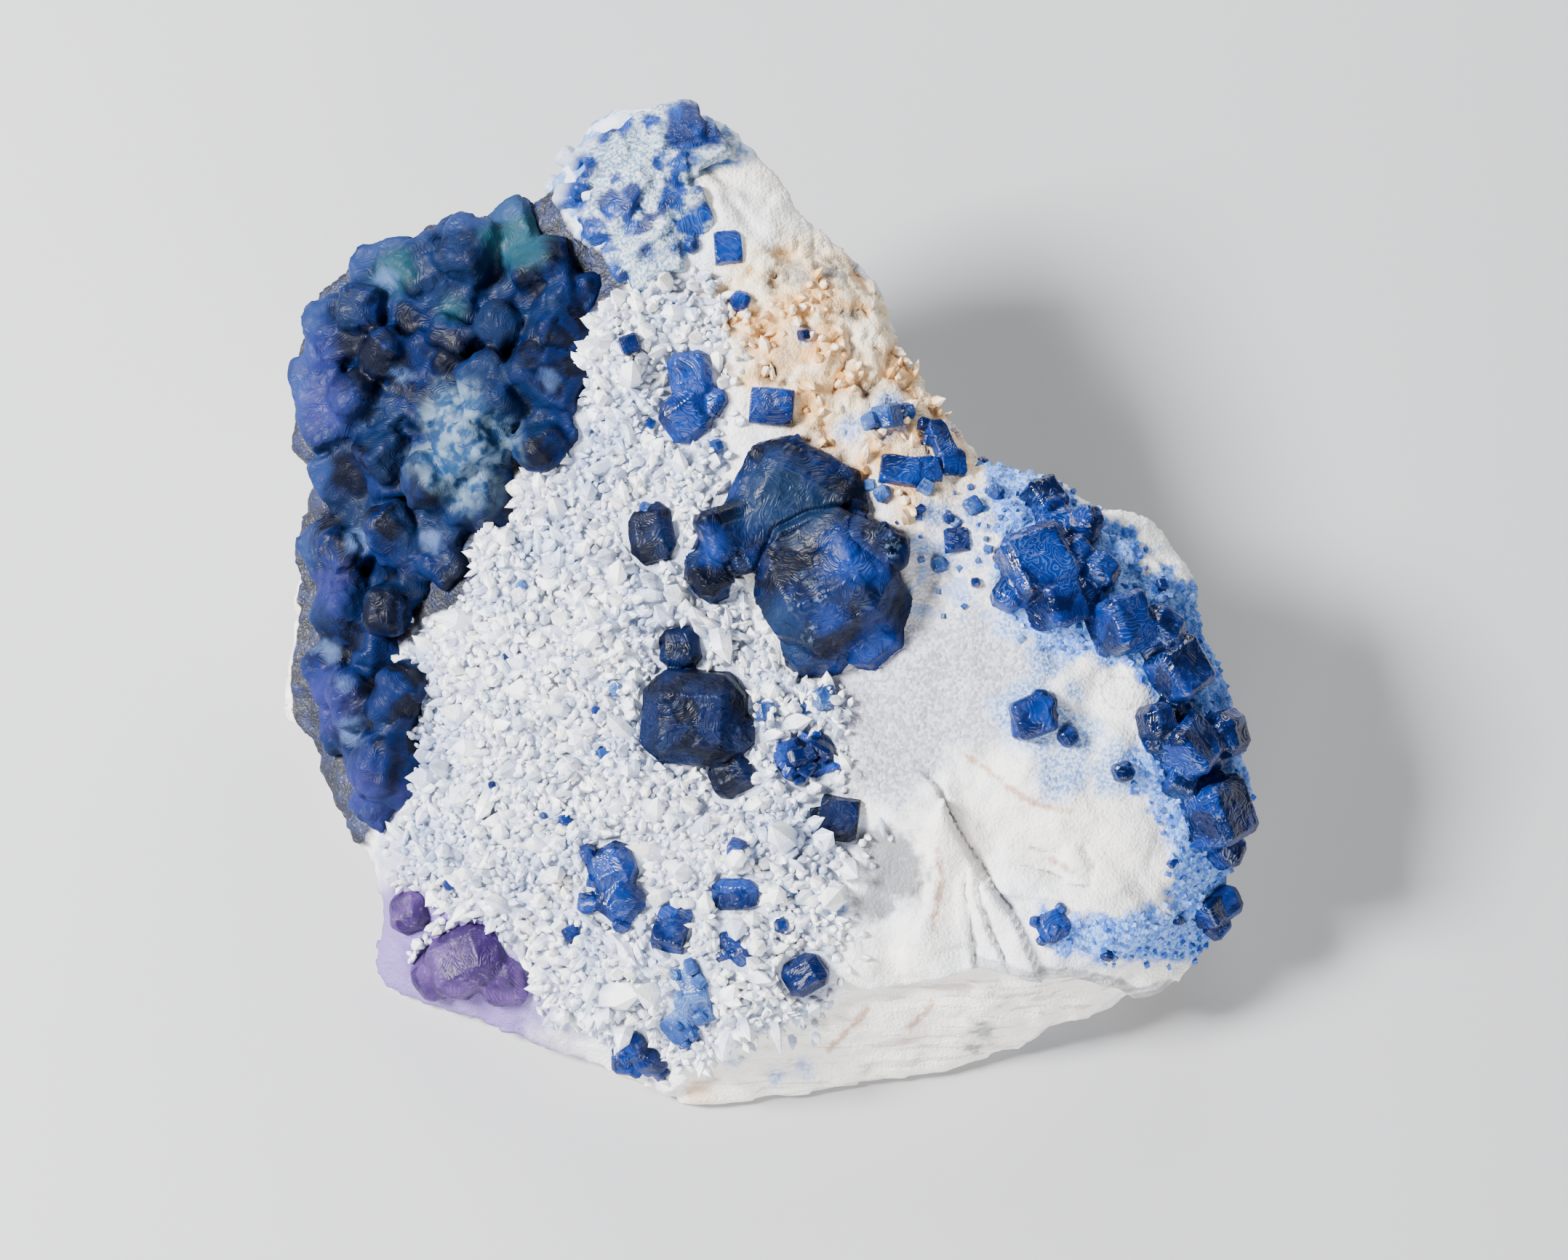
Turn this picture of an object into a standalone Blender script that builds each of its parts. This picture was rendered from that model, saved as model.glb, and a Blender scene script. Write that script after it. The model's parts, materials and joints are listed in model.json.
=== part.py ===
"""Fluorite cluster: deep blue fluorite crystals grown on a block of drusy white quartz, 75 mm across.

The block lies on its flat underside, and its show face leans back towards +Y. Places on that face are given
in millimetres as a viewer in front of it sees them: u to the right, v up the face and w out of it.
"""

import math
import random

import bmesh
import bpy
import numpy as np
from mathutils import Matrix, Vector, noise

MM = 0.001

# The stance of the block, and where its show face is seen from.
SHOW_ELEVATION = math.radians(65)
VIEW_DISTANCE = 338.0
FACE_HEIGHT = 24.0
FACE_CENTRE_X = 1.9
FACE_CENTRE_Y = -5.4

# Room between a crystal and the rock that it grows on, and how deep the rock is built before its underside is cut.
ROCK_GAP = 0.3
CUT_DEPTH = 3.0

# How finely the rock is meshed: spokes round the face, rings out to its rim, and rings down its flanks.
SPOKES = 80
FACE_RINGS = 13
FLANK_RINGS = 5
RIM_ROUNDING = 1.4
RIM_CLEARANCE = 0.6
FACE_CENTRE = (-1.5, -0.5)
FLAT_WITHIN = 8.0

# The flanks: how far they draw in towards the middle on the way down, and how far they swell in and out.
UNDERCUT = 0.13
FLANK_ROUGHNESS = 1.3
BACK_ROUGHNESS = 3.6

# The rim of the show face, clockwise from the top of the block.
RIM = [
    (-9.1, 40.7), (-5.8, 39.8), (-2.4, 37.6), (0.0, 34.3), (3.3, 30.0), (5.5, 29.1), (7.2, 27.0), (8.5, 23.3),
    (10.0, 20.3), (12.2, 17.6), (15.2, 13.8), (18.9, 12.1), (21.3, 11.7), (24.3, 9.5), (27.4, 9.1), (29.8, 6.9),
    (31.3, 4.2), (32.2, 0.8), (33.5, -1.6), (34.8, -5.2), (35.3, -8.0), (36.0, -11.3), (36.1, -14.4),
    (35.2, -17.5), (34.4, -20.0), (34.1, -23.2), (32.2, -25.0), (30.4, -26.5), (29.2, -28.1), (25.5, -29.0),
    (21.3, -30.5), (18.2, -32.3), (12.2, -34.4), (6.1, -35.7), (0.0, -36.4), (-7.3, -37.1), (-14.6, -33.8),
    (-21.9, -30.8), (-31.0, -28.1), (-31.6, -26.5), (-31.5, -21.5), (-32.2, -18.0), (-34.1, -15.0),
    (-36.5, -10.1), (-38.3, -6.8), (-38.4, -4.6), (-37.7, 0.2), (-37.8, 3.9), (-37.4, 6.9), (-36.5, 11.2),
    (-35.9, 12.6), (-38.1, 14.0), (-38.3, 16.0), (-37.7, 19.7), (-37.2, 23.3), (-35.9, 26.4), (-33.5, 28.2),
    (-31.6, 30.0), (-27.4, 31.6), (-21.9, 32.5), (-18.2, 33.9), (-17.0, 37.3), (-15.2, 39.2), (-12.2, 40.4),
]

# Heights of the rock's show face, each as (u, v, w), and how far the surface may ease past them.
SPLINE_EASE = 2.0
FACE_KNOTS = [
    # the middle, under the large crystals, and the drusy slope that falls away to the left
    (0, 9, -3.0), (4, 2, -2.6), (-7, -6, -3.2), (-8, 6, -4.0), (-12, -12, -4.0), (-18, -6, -6.0), (-17, 8, -6.0),
    (-14, 22, -5.5), (-19, 16, -7.5), (-23, -12, -7.5), (-28, -4, -10.5), (-26, 3, -9.5), (-22, 10, -8.5),
    (-30, -14, -11.0), (-24, -24, -7.5), (-30, -22, -10.0), (-13, -28, -3.5), (-6, -20, -2.2),
    # the low shelf that carries the dark crystals, along the left
    (-33, -8, -15.0), (-32, 2, -15.5), (-37, 0, -17.0), (-31, 12, -14.0), (-36, 18, -15.0), (-29, 20, -13.0),
    (-31, 28, -14.0), (-23, 22, -11.0), (-20, 30, -10.0), (-25, 31, -11.5), (-18, 27, -9.0),
    # the head of the block
    (-14, 34, -6.0), (-9, 40, -7.5), (-15, 39, -8.5), (-6, 30, -5.0), (-2, 36, -7.0), (-3, 24, -4.5),
    # the ochre shoulder
    (4, 24, -4.5), (5, 28, -7.0), (2, 17, -3.2), (9, 20, -6.5), (10, 14, -3.0), (15, 13, -5.5),
    # the blue crust along the right
    (14, 8, -1.8), (20, 6, -0.8), (24, 8, -2.2), (28, 8, -5.0), (26, 0, -0.4), (31, 0, -3.2), (30, -8, -1.0),
    (34, -10, -3.8), (31, -16, -1.5), (35, -18, -4.6), (32, -24, -5.5),
    # the pale broken face in the lower right, and the front wall below its ledge
    (10, -2, -1.4), (12, -10, -1.0), (20, -12, 0.2), (11, -16, 0.2), (14, -20, -1.2), (22, -20, -0.6), (7, -20, -1.0),
    (28, -25.6, -2.2), (20, -26.0, -0.6), (12, -26.2, -0.4), (4, -27.2, -0.8), (-1, -29.6, -1.8), (-6, -32, -2.8),
    (28, -28.6, -6.2), (20, -28.6, -3.4), (12, -29.0, -3.2), (5, -30.2, -4.0), (0, -32.6, -5.0),
    (18, -32.3, -8.4), (12, -34.4, -9.4), (5, -36, -9.6), (-7, -37.1, -9.8), (-14, -34, -7.6),
]

# The drusy field, where quartz points cover the rock.
DRUSE_FIELD = [
    (-18.2, 20.3), (-14.0, 24.6), (-9.7, 26.4), (-9.1, 22.1), (-5.8, 22.1), (-4.3, 16.0), (-4.9, 12.4),
    (-7.9, 10.0), (-5.5, 1.0), (-2.4, -2.8), (4.9, -5.2), (5.2, -12.5), (6.7, -15.6), (4.3, -18.6), (4.3, -25.6),
    (-2.4, -29.0), (-7.3, -33.0), (-14.6, -31.6), (-29.0, -26.6), (-30.0, -20.6), (-29.8, -15.0),
    (-30.4, -4.6), (-28.0, 0.2), (-24.3, 3.9), (-23.7, 10.0), (-18.9, 13.6), (-16.1, 16.0),
]
QUARTZ_POINTS = 84
QUARTZ_SPACING = 2.5
QUARTZ_RADIUS = (1.2, 1.7)
QUARTZ_HEIGHT = (2.4, 3.5)
QUARTZ_LEAN = 28
QUARTZ_CLEARANCE = 1.1
QUARTZ_SINK = 0.45
QUARTZ_TRIES = 3600
QUARTZ_SEED = 7

DEEP_BLUE = (0.010, 0.035, 0.16, 1)
BLUE = (0.030, 0.110, 0.42, 1)
PALE_BLUE = (0.20, 0.34, 0.58, 1)
PURPLE = (0.13, 0.07, 0.28, 1)
QUARTZ_WHITE = (0.80, 0.79, 0.77, 1)

# Every fluorite growth by its node. A crystal is (u, v, half size, sink, turn, lean, (stretch across, along, up)):
# sink is the share of its half size that lies below the rock's face, and turn and lean are in degrees.
ROUND = (1.0, 1.0, 0.9)
FLUORITES = {
    "fluorite_large_pair": (DEEP_BLUE, [
        (4.0, 3.3, 4.7, -0.15, 27, 30, (1.08, 1.10, 1.0)),
        (6.7, -0.4, 2.5, 0.00, 40, 20, ROUND),
        (2.6, -0.9, 2.7, 0.00, 5, 24, ROUND),
        (0.6, 9.3, 4.9, 0.30, 62, -8, (1.06, 1.06, 0.95)),
        (-4.9, 6.9, 1.9, 0.15, 8, -14, (0.9, 1.3, 0.9)),
        (-6.0, 4.4, 1.7, 0.15, 27, 16, (0.8, 1.5, 0.9)),
    ]),
    "fluorite_left_of_pair": (DEEP_BLUE, [
        (-10.2, 7.4, 1.9, 0.15, 12, 14, (0.95, 1.25, 0.9)),
    ]),
    "fluorite_dark_cube": (DEEP_BLUE, [
        (-6.8, -6.6, 3.9, 0.15, -4, -10, (1.06, 0.94, 0.95)),
        (-4.6, -8.0, 2.4, 0.10, 38, 14, ROUND),
        (-8.0, -1.5, 1.6, 0.00, 8, 12, ROUND),
        (-3.9, -11.4, 1.6, 0.05, 30, 26, (1.1, 0.95, 0.9)),
    ]),
    "fluorite_rosette": (BLUE, [
        (1.3, -9.9, 1.4, 0.10, 10, 30, ROUND),
        (2.7, -9.1, 1.1, 0.0, 48, -28, ROUND),
        (1.1, -11.0, 0.95, 0.0, 70, 18, ROUND),
        (2.7, -10.6, 0.9, 0.0, 25, 35, ROUND),
    ]),
    "fluorite_square": (DEEP_BLUE, [
        (4.4, -14.5, 1.5, 0.05, -8, -16, (1.0, 1.1, 0.9)),
        (2.9, -14.4, 0.8, 0.10, 8, -12, ROUND),
    ]),
    "fluorite_lower_left": (DEEP_BLUE, [
        (-13.2, -18.6, 1.9, 0.10, 25, 18, ROUND),
        (-12.6, -21.0, 1.75, 0.10, 50, -14, ROUND),
        (-15.0, -21.2, 1.0, 0.10, 12, 25, ROUND),
    ]),
    "fluorite_lens": (BLUE, [
        (-3.7, -20.5, 1.4, 0.05, -6, -18, (1.35, 0.9, 0.9)),
    ]),
    "fluorite_facet": (BLUE, [
        (-8.6, -23.4, 1.4, 0.05, -14, 24, (0.95, 1.2, 0.9)),
    ]),
    "fluorite_small_trio": (BLUE, [
        (-4.2, -24.2, 0.85, 0.0, 10, 20, ROUND),
        (-3.3, -25.3, 0.8, 0.0, 40, -20, ROUND),
        (-4.8, -25.1, 0.75, 0.0, 22, 12, ROUND),
    ]),
    "fluorite_round": (BLUE, [
        (1.7, -26.7, 1.6, 0.0, 33, 20, (1.05, 0.95, 1.0)),
    ]),
    "fluorite_pale_patch": (PALE_BLUE, [
        (-7.0, -27.3, 1.1, 0.25, 30, 12, ROUND),
        (-6.9, -29.0, 1.4, 0.30, 12, -14, ROUND),
        (-8.0, -30.8, 1.2, 0.30, 50, 14, ROUND),
    ]),
    "fluorite_foot_cluster": (BLUE, [
        (-11.6, -32.3, 1.2, 0.10, 20, 14, ROUND),
        (-10.4, -33.4, 1.25, 0.10, 35, -18, ROUND),
        (-12.4, -33.6, 0.95, 0.10, 5, 20, ROUND),
        (-13.6, -31.6, 0.8, 0.05, 15, 10, (0.8, 1.4, 0.9)),
    ]),
    "fluorite_upper_pair": (BLUE, [
        (-7.2, 19.7, 1.8, 0.10, 10, 16, (0.95, 1.1, 0.9)),
        (-7.6, 16.7, 1.95, 0.10, 35, -15, ROUND),
        (-5.6, 17.6, 1.3, 0.15, 60, 20, ROUND),
    ]),
    "fluorite_above_pair": (BLUE, [
        (-0.9, 17.4, 1.5, 0.05, -5, -10, (1.15, 0.95, 0.9)),
    ]),
    "fluorite_top_square": (BLUE, [
        (-4.4, 29.5, 1.2, 0.20, 5, 10, (0.9, 1.1, 0.9)),
    ]),
    "fluorite_shoulder_blocks": (BLUE, [
        (12.0, 14.6, 1.1, 0.15, 18, 8, (0.8, 1.5, 0.9)),
        (12.9, 12.9, 1.1, 0.20, 12, -10, ROUND),
        (10.7, 12.2, 1.2, 0.30, 12, 8, (1.2, 0.9, 0.9)),
        (8.9, 12.2, 1.3, 0.30, -8, 10, (1.2, 0.9, 0.9)),
    ]),
    "fluorite_small_cube": (BLUE, [
        (13.4, 6.8, 1.0, 0.20, 4, 10, ROUND),
    ]),
    "fluorite_right_crust": (DEEP_BLUE, [
        (20.3, 5.8, 2.7, 0.40, 20, 16, ROUND),
        (18.6, 3.2, 1.6, 0.35, 45, 20, ROUND),
        (20.6, 1.7, 2.0, 0.40, 10, -14, ROUND),
        (22.4, 3.0, 1.7, 0.35, 30, 24, ROUND),
        (22.9, 7.9, 1.6, 0.40, 0, 14, ROUND),
        (20.8, 9.0, 1.6, 0.50, 25, 10, ROUND),
        (24.4, 4.6, 1.5, 0.40, 35, 12, ROUND),
        (24.3, 1.8, 1.2, 0.35, 20, 12, ROUND),
        (26.4, 0.2, 2.3, 0.35, 15, 16, ROUND),
        (28.8, -0.8, 1.9, 0.35, 40, -16, ROUND),
        (30.4, -3.4, 2.1, 0.40, 5, 12, ROUND),
        (29.6, -6.2, 1.3, 0.40, 60, 18, ROUND),
        (29.0, -8.0, 1.6, 0.40, 30, 14, ROUND),
        (31.2, -9.4, 2.1, 0.40, 10, -14, ROUND),
        (33.4, -9.2, 1.6, 0.35, 42, 20, ROUND),
        (33.2, -13.2, 2.3, 0.40, 22, 16, ROUND),
        (34.0, -16.0, 1.6, 0.40, 50, -14, ROUND),
    ]),
    "fluorite_rim_beads": (BLUE, [
        (34.3, -21.3, 1.3, 0.25, 20, 20, ROUND),
        (33.6, -23.0, 1.1, 0.30, 45, 15, ROUND),
    ]),
    "fluorite_inner_spot": (BLUE, [
        (19.8, -6.4, 1.7, 0.50, 15, 14, ROUND),
        (22.3, -7.9, 1.3, 0.50, 40, 10, ROUND),
    ]),
    "fluorite_low_spot": (BLUE, [
        (20.9, -23.0, 1.3, 0.40, 30, 12, ROUND),
    ]),
    "fluorite_purple_large": (PURPLE, [
        (-24.4, -25.8, 3.0, 0.20, 28, 20, (1.15, 0.85, 0.9)),
        (-21.8, -27.2, 2.0, 0.25, 10, -14, ROUND),
        (-27.2, -27.0, 1.7, 0.25, 50, 14, ROUND),
    ]),
    "fluorite_purple_small": (PURPLE, [
        (-29.0, -22.0, 1.6, 0.15, 20, 24, ROUND),
    ]),
    "fluorite_head_crust": (BLUE, [
        (-13.6, 36.6, 1.9, 0.35, 20, 14, ROUND),
        (-11.0, 38.2, 1.8, 0.40, 45, -10, ROUND),
        (-8.2, 38.8, 2.0, 0.40, 10, 16, ROUND),
        (-6.2, 37.4, 1.7, 0.40, 30, 10, ROUND),
        (-12.4, 33.8, 2.1, 0.40, 60, 14, ROUND),
        (-9.6, 35.2, 2.2, 0.45, 5, -12, ROUND),
        (-13.9, 31.8, 1.7, 0.35, 15, 18, ROUND),
        (-11.0, 31.4, 2.2, 0.45, 40, 12, ROUND),
        (-7.6, 32.4, 1.9, 0.45, 22, -14, ROUND),
        (-12.3, 28.9, 1.6, 0.35, 35, 20, (0.9, 1.2, 0.9)),
        (-9.8, 29.0, 1.9, 0.45, 12, 12, ROUND),
    ]),
    "fluorite_dark_wall": (DEEP_BLUE, [
        (-30.4, 27.0, 2.9, 0.25, 10, 16, ROUND),
        (-26.8, 28.4, 2.7, 0.25, 35, -14, ROUND),
        (-23.4, 28.8, 2.4, 0.25, 60, 18, ROUND),
        (-20.8, 30.6, 2.1, 0.15, 35, 20, (1.0, 1.15, 0.9)),
        (-18.0, 26.4, 3.1, 0.15, 22, 16, ROUND),
        (-17.6, 17.8, 1.9, 0.10, 15, 18, ROUND),
        (-17.4, 15.4, 1.7, 0.10, 40, -18, ROUND),
        (-34.0, 22.6, 3.0, 0.25, 15, 22, ROUND),
        (-30.2, 22.4, 3.1, 0.15, 45, 12, ROUND),
        (-26.2, 24.0, 3.3, 0.10, 5, -12, ROUND),
        (-22.0, 24.2, 2.9, 0.15, 30, 15, ROUND),
        (-35.2, 17.6, 3.0, 0.20, 20, 14, (0.8, 1.3, 1.0)),
        (-30.6, 17.2, 3.3, 0.15, 55, 16, ROUND),
        (-25.6, 18.6, 3.4, 0.10, 12, 10, ROUND),
        (-21.4, 19.4, 2.7, 0.15, 38, 18, ROUND),
        (-33.4, 12.0, 2.8, 0.20, 28, -14, ROUND),
        (-29.0, 12.6, 2.8, 0.10, 8, 14, ROUND),
        (-24.4, 14.0, 3.5, 0.00, 42, 12, (1.15, 1.0, 0.9)),
        (-31.0, 7.8, 2.9, 0.15, 18, 16, ROUND),
        (-26.6, 8.0, 2.6, 0.10, 50, -12, ROUND),
        (-34.6, 6.0, 2.6, 0.25, 32, 14, ROUND),
        (-33.4, 1.6, 2.7, 0.20, 10, 18, ROUND),
        (-29.6, 3.2, 2.7, 0.15, 40, 12, ROUND),
        (-34.6, -3.0, 2.5, 0.25, 25, -14, ROUND),
        (-31.8, -2.4, 2.3, 0.20, 55, 14, ROUND),
        (-33.6, -7.4, 2.3, 0.25, 15, 16, ROUND),
        (-31.6, -10.2, 2.2, 0.20, 35, 12, ROUND),
        (-31.4, -13.2, 1.9, 0.20, 48, 14, ROUND),
    ]),
}
# A blocky crystal is a cube with its corners cut. Any other has its edges cut back instead, which makes it rounder.
BLOCKY = {
    "fluorite_square", "fluorite_facet", "fluorite_above_pair", "fluorite_top_square", "fluorite_shoulder_blocks",
    "fluorite_small_cube", "fluorite_dark_wall", "fluorite_head_crust", "fluorite_pale_patch",
}
CORNER_CUT = 0.42
EDGE_CUT = 0.42
CUT_ALL_ROUND_ABOVE = 2.8


def clear_scene():
    for obj in list(bpy.data.objects):
        bpy.data.objects.remove(obj)


def make_collection(name, parent=None):
    collection = bpy.data.collections.new(name)
    (parent or bpy.context.scene.collection).children.link(collection)
    return collection


def make_material(name, colour, roughness):
    material = bpy.data.materials.new(name)
    material.use_nodes = True
    shader = material.node_tree.nodes["Principled BSDF"]
    shader.inputs["Base Color"].default_value = colour
    shader.inputs["Roughness"].default_value = roughness
    shader.inputs["Metallic"].default_value = 0
    return material


def make_show_face():
    """The empty that carries everything: its axes are u, v and w of the show face."""
    face = bpy.data.objects.new("show_face", None)
    bpy.context.scene.collection.objects.link(face)
    face.location = Vector((FACE_CENTRE_X, FACE_CENTRE_Y, FACE_HEIGHT)) * MM
    face.rotation_euler.x = math.radians(90) - SHOW_ELEVATION
    bpy.context.view_layer.update()
    return face


def spline_kernel(a, b):
    squared = ((a[:, None, :] - b[None, :, :]) ** 2).sum(2)
    return squared * np.log(squared + 1e-9) / 2


def spline_weights(knots):
    """The weights of a thin plate spline that runs close to the knots, with SPLINE_EASE of slack at each."""
    places, heights = knots[:, :2], knots[:, 2]
    count = len(knots)
    system = np.zeros((count + 3, count + 3))
    system[:count, :count] = spline_kernel(places, places) + np.eye(count) * SPLINE_EASE
    system[:count, count:] = np.column_stack((np.ones(count), places))
    system[count:, :count] = system[:count, count:].T
    return np.linalg.solve(system, np.append(heights, (0, 0, 0)))


KNOTS = np.array(FACE_KNOTS, float)
WEIGHTS = spline_weights(KNOTS)


def face_height(u, v):
    """The height w of the rock's show face at (u, v)."""
    bent = spline_kernel(np.array([(u, v)], float), KNOTS[:, :2]) @ WEIGHTS[:-3]
    return float(bent[0] + WEIGHTS[-3:] @ (1, u, v))


def ground_depth(v):
    """The depth w at which a point seen at height v of the face lies on what the block stands on."""
    across, out = math.cos(SHOW_ELEVATION), math.sin(SHOW_ELEVATION)
    return -(FACE_HEIGHT + v * across) / (out - v * across / VIEW_DISTANCE)


def seen_at(u, v, w):
    """The point at depth w that a viewer VIEW_DISTANCE away sees at (u, v)."""
    spread = 1 - w / VIEW_DISTANCE
    return Vector((u * spread, v * spread, w))


def surface_point(u, v):
    return seen_at(u, v, max(face_height(u, v), ground_depth(v) + RIM_CLEARANCE))


def surface_normal(u, v, step=1.0):
    right = surface_point(u + step, v) - surface_point(u - step, v)
    up = surface_point(u, v + step) - surface_point(u, v - step)
    return right.cross(up).normalized()


def rim_spokes():
    """SPOKES points round the rim: the rim's own points, and more between those that lie far apart."""
    spokes = [Vector(point) for point in RIM]
    while len(spokes) < SPOKES:
        gaps = [(spokes[(i + 1) % len(spokes)] - spokes[i]).length for i in range(len(spokes))]
        widest = gaps.index(max(gaps))
        middle = (spokes[widest] + spokes[(widest + 1) % len(spokes)]) / 2
        spokes.insert(widest + 1, middle)
    return spokes


def rock_vertex(ring, rim, show_face):
    """Where a vertex of the rock goes, by its ring out from the middle of the face and the rim point of its spoke."""
    centre = Vector(FACE_CENTRE)
    if ring <= FACE_RINGS:
        share = (ring / FACE_RINGS) ** 0.85
        u, v = centre.lerp(rim, share)
        point = surface_point(u, v)
        rise = noise.noise(Vector((u, v, 0)) * 0.28) * 0.9 + noise.noise(Vector((u, v, 9)) * 0.7) * 0.45
        rounding = RIM_ROUNDING * (1 - math.sqrt(1 - share**8))
        depth = max(point.z + rise * (1 - share**6) - rounding, ground_depth(v) + RIM_CLEARANCE)
        return seen_at(u, v, depth) * MM
    down = (ring - FACE_RINGS) / FLANK_RINGS
    top = show_face.matrix_world @ rock_vertex(FACE_RINGS, rim, show_face)
    middle = show_face.matrix_world @ rock_vertex(0, rim, show_face)
    height = top.z * (1 - down) - CUT_DEPTH * MM * down
    flank = top.lerp(middle, UNDERCUT * down)
    flank.z = height
    outward = (top - middle).to_2d().normalized()
    roughness = FLANK_ROUGHNESS + (BACK_ROUGHNESS - FLANK_ROUGHNESS) * max(0, outward.y)
    swelling = noise.noise(flank / MM * 0.085) + noise.noise(flank / MM * 0.21) * 0.4
    flank += outward.to_3d() * swelling * roughness * min(1, down * 2) * MM
    return show_face.matrix_world.inverted() @ flank


def make_rock(show_face, material):
    """The block: a ball whose upper rings lie on the show face and whose lower rings run down the flanks."""
    rings = FACE_RINGS + FLANK_RINGS + 1
    bm = bmesh.new()
    bmesh.ops.create_uvsphere(bm, u_segments=SPOKES, v_segments=rings, radius=1)
    spokes = rim_spokes()
    for vertex in bm.verts:
        place = vertex.co.normalized()
        ring = round(math.acos(max(-1, min(1, place.z))) / math.pi * rings)
        turn = round(math.atan2(-place.y, place.x) / (2 * math.pi) * SPOKES) % SPOKES
        if ring == rings:
            foot = show_face.matrix_world @ rock_vertex(0, spokes[0], show_face)
            foot.z = -CUT_DEPTH * MM
            vertex.co = show_face.matrix_world.inverted() @ foot
        else:
            vertex.co = rock_vertex(ring, spokes[turn], show_face)
    bmesh.ops.triangulate(bm, faces=bm.faces)
    bmesh.ops.dissolve_limit(bm, angle_limit=math.radians(FLAT_WITHIN), verts=bm.verts, edges=bm.edges)
    bmesh.ops.triangulate(bm, faces=bm.faces)
    bmesh.ops.recalc_face_normals(bm, faces=bm.faces)
    mesh = bpy.data.meshes.new("matrix")
    bm.to_mesh(mesh)
    bm.free()
    mesh.materials.append(material)
    return mesh


def make_ground():
    """A slab with its top at height zero, which cuts everything off flat."""
    bm = bmesh.new()
    bmesh.ops.create_cube(bm, size=1)
    bmesh.ops.scale(bm, verts=bm.verts, vec=Vector((160, 160, 20)) * MM)
    bmesh.ops.translate(bm, verts=bm.verts, vec=Vector((0, 0, -10)) * MM)
    mesh = bpy.data.meshes.new("ground_cut")
    bm.to_mesh(mesh)
    bm.free()
    return mesh


def inside(point, corners):
    """Whether (u, v) lies inside the closed outline."""
    found = False
    for (u1, v1), (u2, v2) in zip(corners, corners[1:] + corners[:1]):
        if (v1 > point[1]) != (v2 > point[1]):
            if point[0] < (u2 - u1) * (point[1] - v1) / (v2 - v1) + u1:
                found = not found
    return found


def standing_on_face(u, v, sink, turn=0.0, lean=0.0):
    """The placing of a thing that grows out of the rock's face at (u, v), with its foot sink below the face."""
    normal = surface_normal(u, v)
    along = normal.cross((-1, 0, 0)).normalized()
    upright = Matrix((along.cross(normal), along, normal)).transposed().to_4x4()
    place = (surface_point(u, v) - normal * sink) * MM
    return (
        Matrix.Translation(place)
        @ upright
        @ Matrix.Rotation(math.radians(turn), 4, "Z")
        @ Matrix.Rotation(math.radians(lean), 4, "X")
    )


def crystal_mesh(name, half, stretch):
    """A cube cut back as fluorite grows it. A small one is left whole lower down, inside the rock."""
    bm = bmesh.new()
    bmesh.ops.create_cube(bm, size=2 * half * MM)
    cut_back = {vertex for vertex in bm.verts if half > CUT_ALL_ROUND_ABOVE or vertex.co.z > 0}
    if name in BLOCKY:
        geometry, affect, cut = list(cut_back), "VERTICES", CORNER_CUT
    else:
        geometry, affect, cut = [edge for edge in bm.edges if cut_back & set(edge.verts)], "EDGES", EDGE_CUT
    bmesh.ops.bevel(bm, geom=geometry, offset=cut * half * MM, affect=affect, offset_type="OFFSET", segments=1)
    bmesh.ops.scale(bm, verts=bm.verts, vec=stretch)
    mesh = bpy.data.meshes.new(name)
    bm.to_mesh(mesh)
    bm.free()
    return mesh


def quartz_mesh(name, radius, height):
    """A six-sided quartz point with its foot at the origin."""
    bm = bmesh.new()
    bmesh.ops.create_cone(bm, cap_ends=True, segments=6, radius1=radius * MM, radius2=0, depth=height * MM)
    bmesh.ops.remove_doubles(bm, verts=bm.verts, dist=0.001 * MM)
    bmesh.ops.translate(bm, verts=bm.verts, vec=Vector((0, 0, height / 2 * MM)))
    mesh = bpy.data.meshes.new(name)
    bm.to_mesh(mesh)
    bm.free()
    return mesh


def add_object(name, mesh, collection, show_face, place=None):
    obj = bpy.data.objects.new(name, mesh)
    collection.objects.link(obj)
    obj.parent = show_face
    obj.matrix_basis = place or Matrix.Identity(4)
    return obj


def as_helper(obj):
    obj.hide_render = True
    obj.display_type = "WIRE"
    return obj


def boolean(obj, name, operation, operand):
    modifier = obj.modifiers.new(name, "BOOLEAN")
    modifier.operation = operation
    modifier.solver = "EXACT"
    if isinstance(operand, bpy.types.Collection):
        modifier.operand_type = "COLLECTION"
        modifier.collection = operand
    else:
        modifier.object = operand
    return modifier


def settle_mesh(obj):
    """Turns the evaluated object into a plain mesh and drops the chips that cuts have freed from it."""
    graph = bpy.context.evaluated_depsgraph_get()
    mesh = bpy.data.meshes.new_from_object(obj.evaluated_get(graph))
    obj.modifiers.clear()
    bm = bmesh.new()
    bm.from_mesh(mesh)
    bmesh.ops.remove_doubles(bm, verts=bm.verts, dist=0.004 * MM)
    bmesh.ops.triangulate(bm, faces=bm.faces)
    unvisited = set(bm.verts)
    bodies = []
    while unvisited:
        body = [unvisited.pop()]
        for vertex in body:
            linked = {edge.other_vert(vertex) for edge in vertex.link_edges} & unvisited
            unvisited -= linked
            body.extend(linked)
        bodies.append(body)
    bodies.sort(key=len)
    for body in bodies[:-1]:
        bmesh.ops.delete(bm, geom=body, context="VERTS")
    bm.to_mesh(mesh)
    bm.free()
    obj.data = mesh


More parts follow.
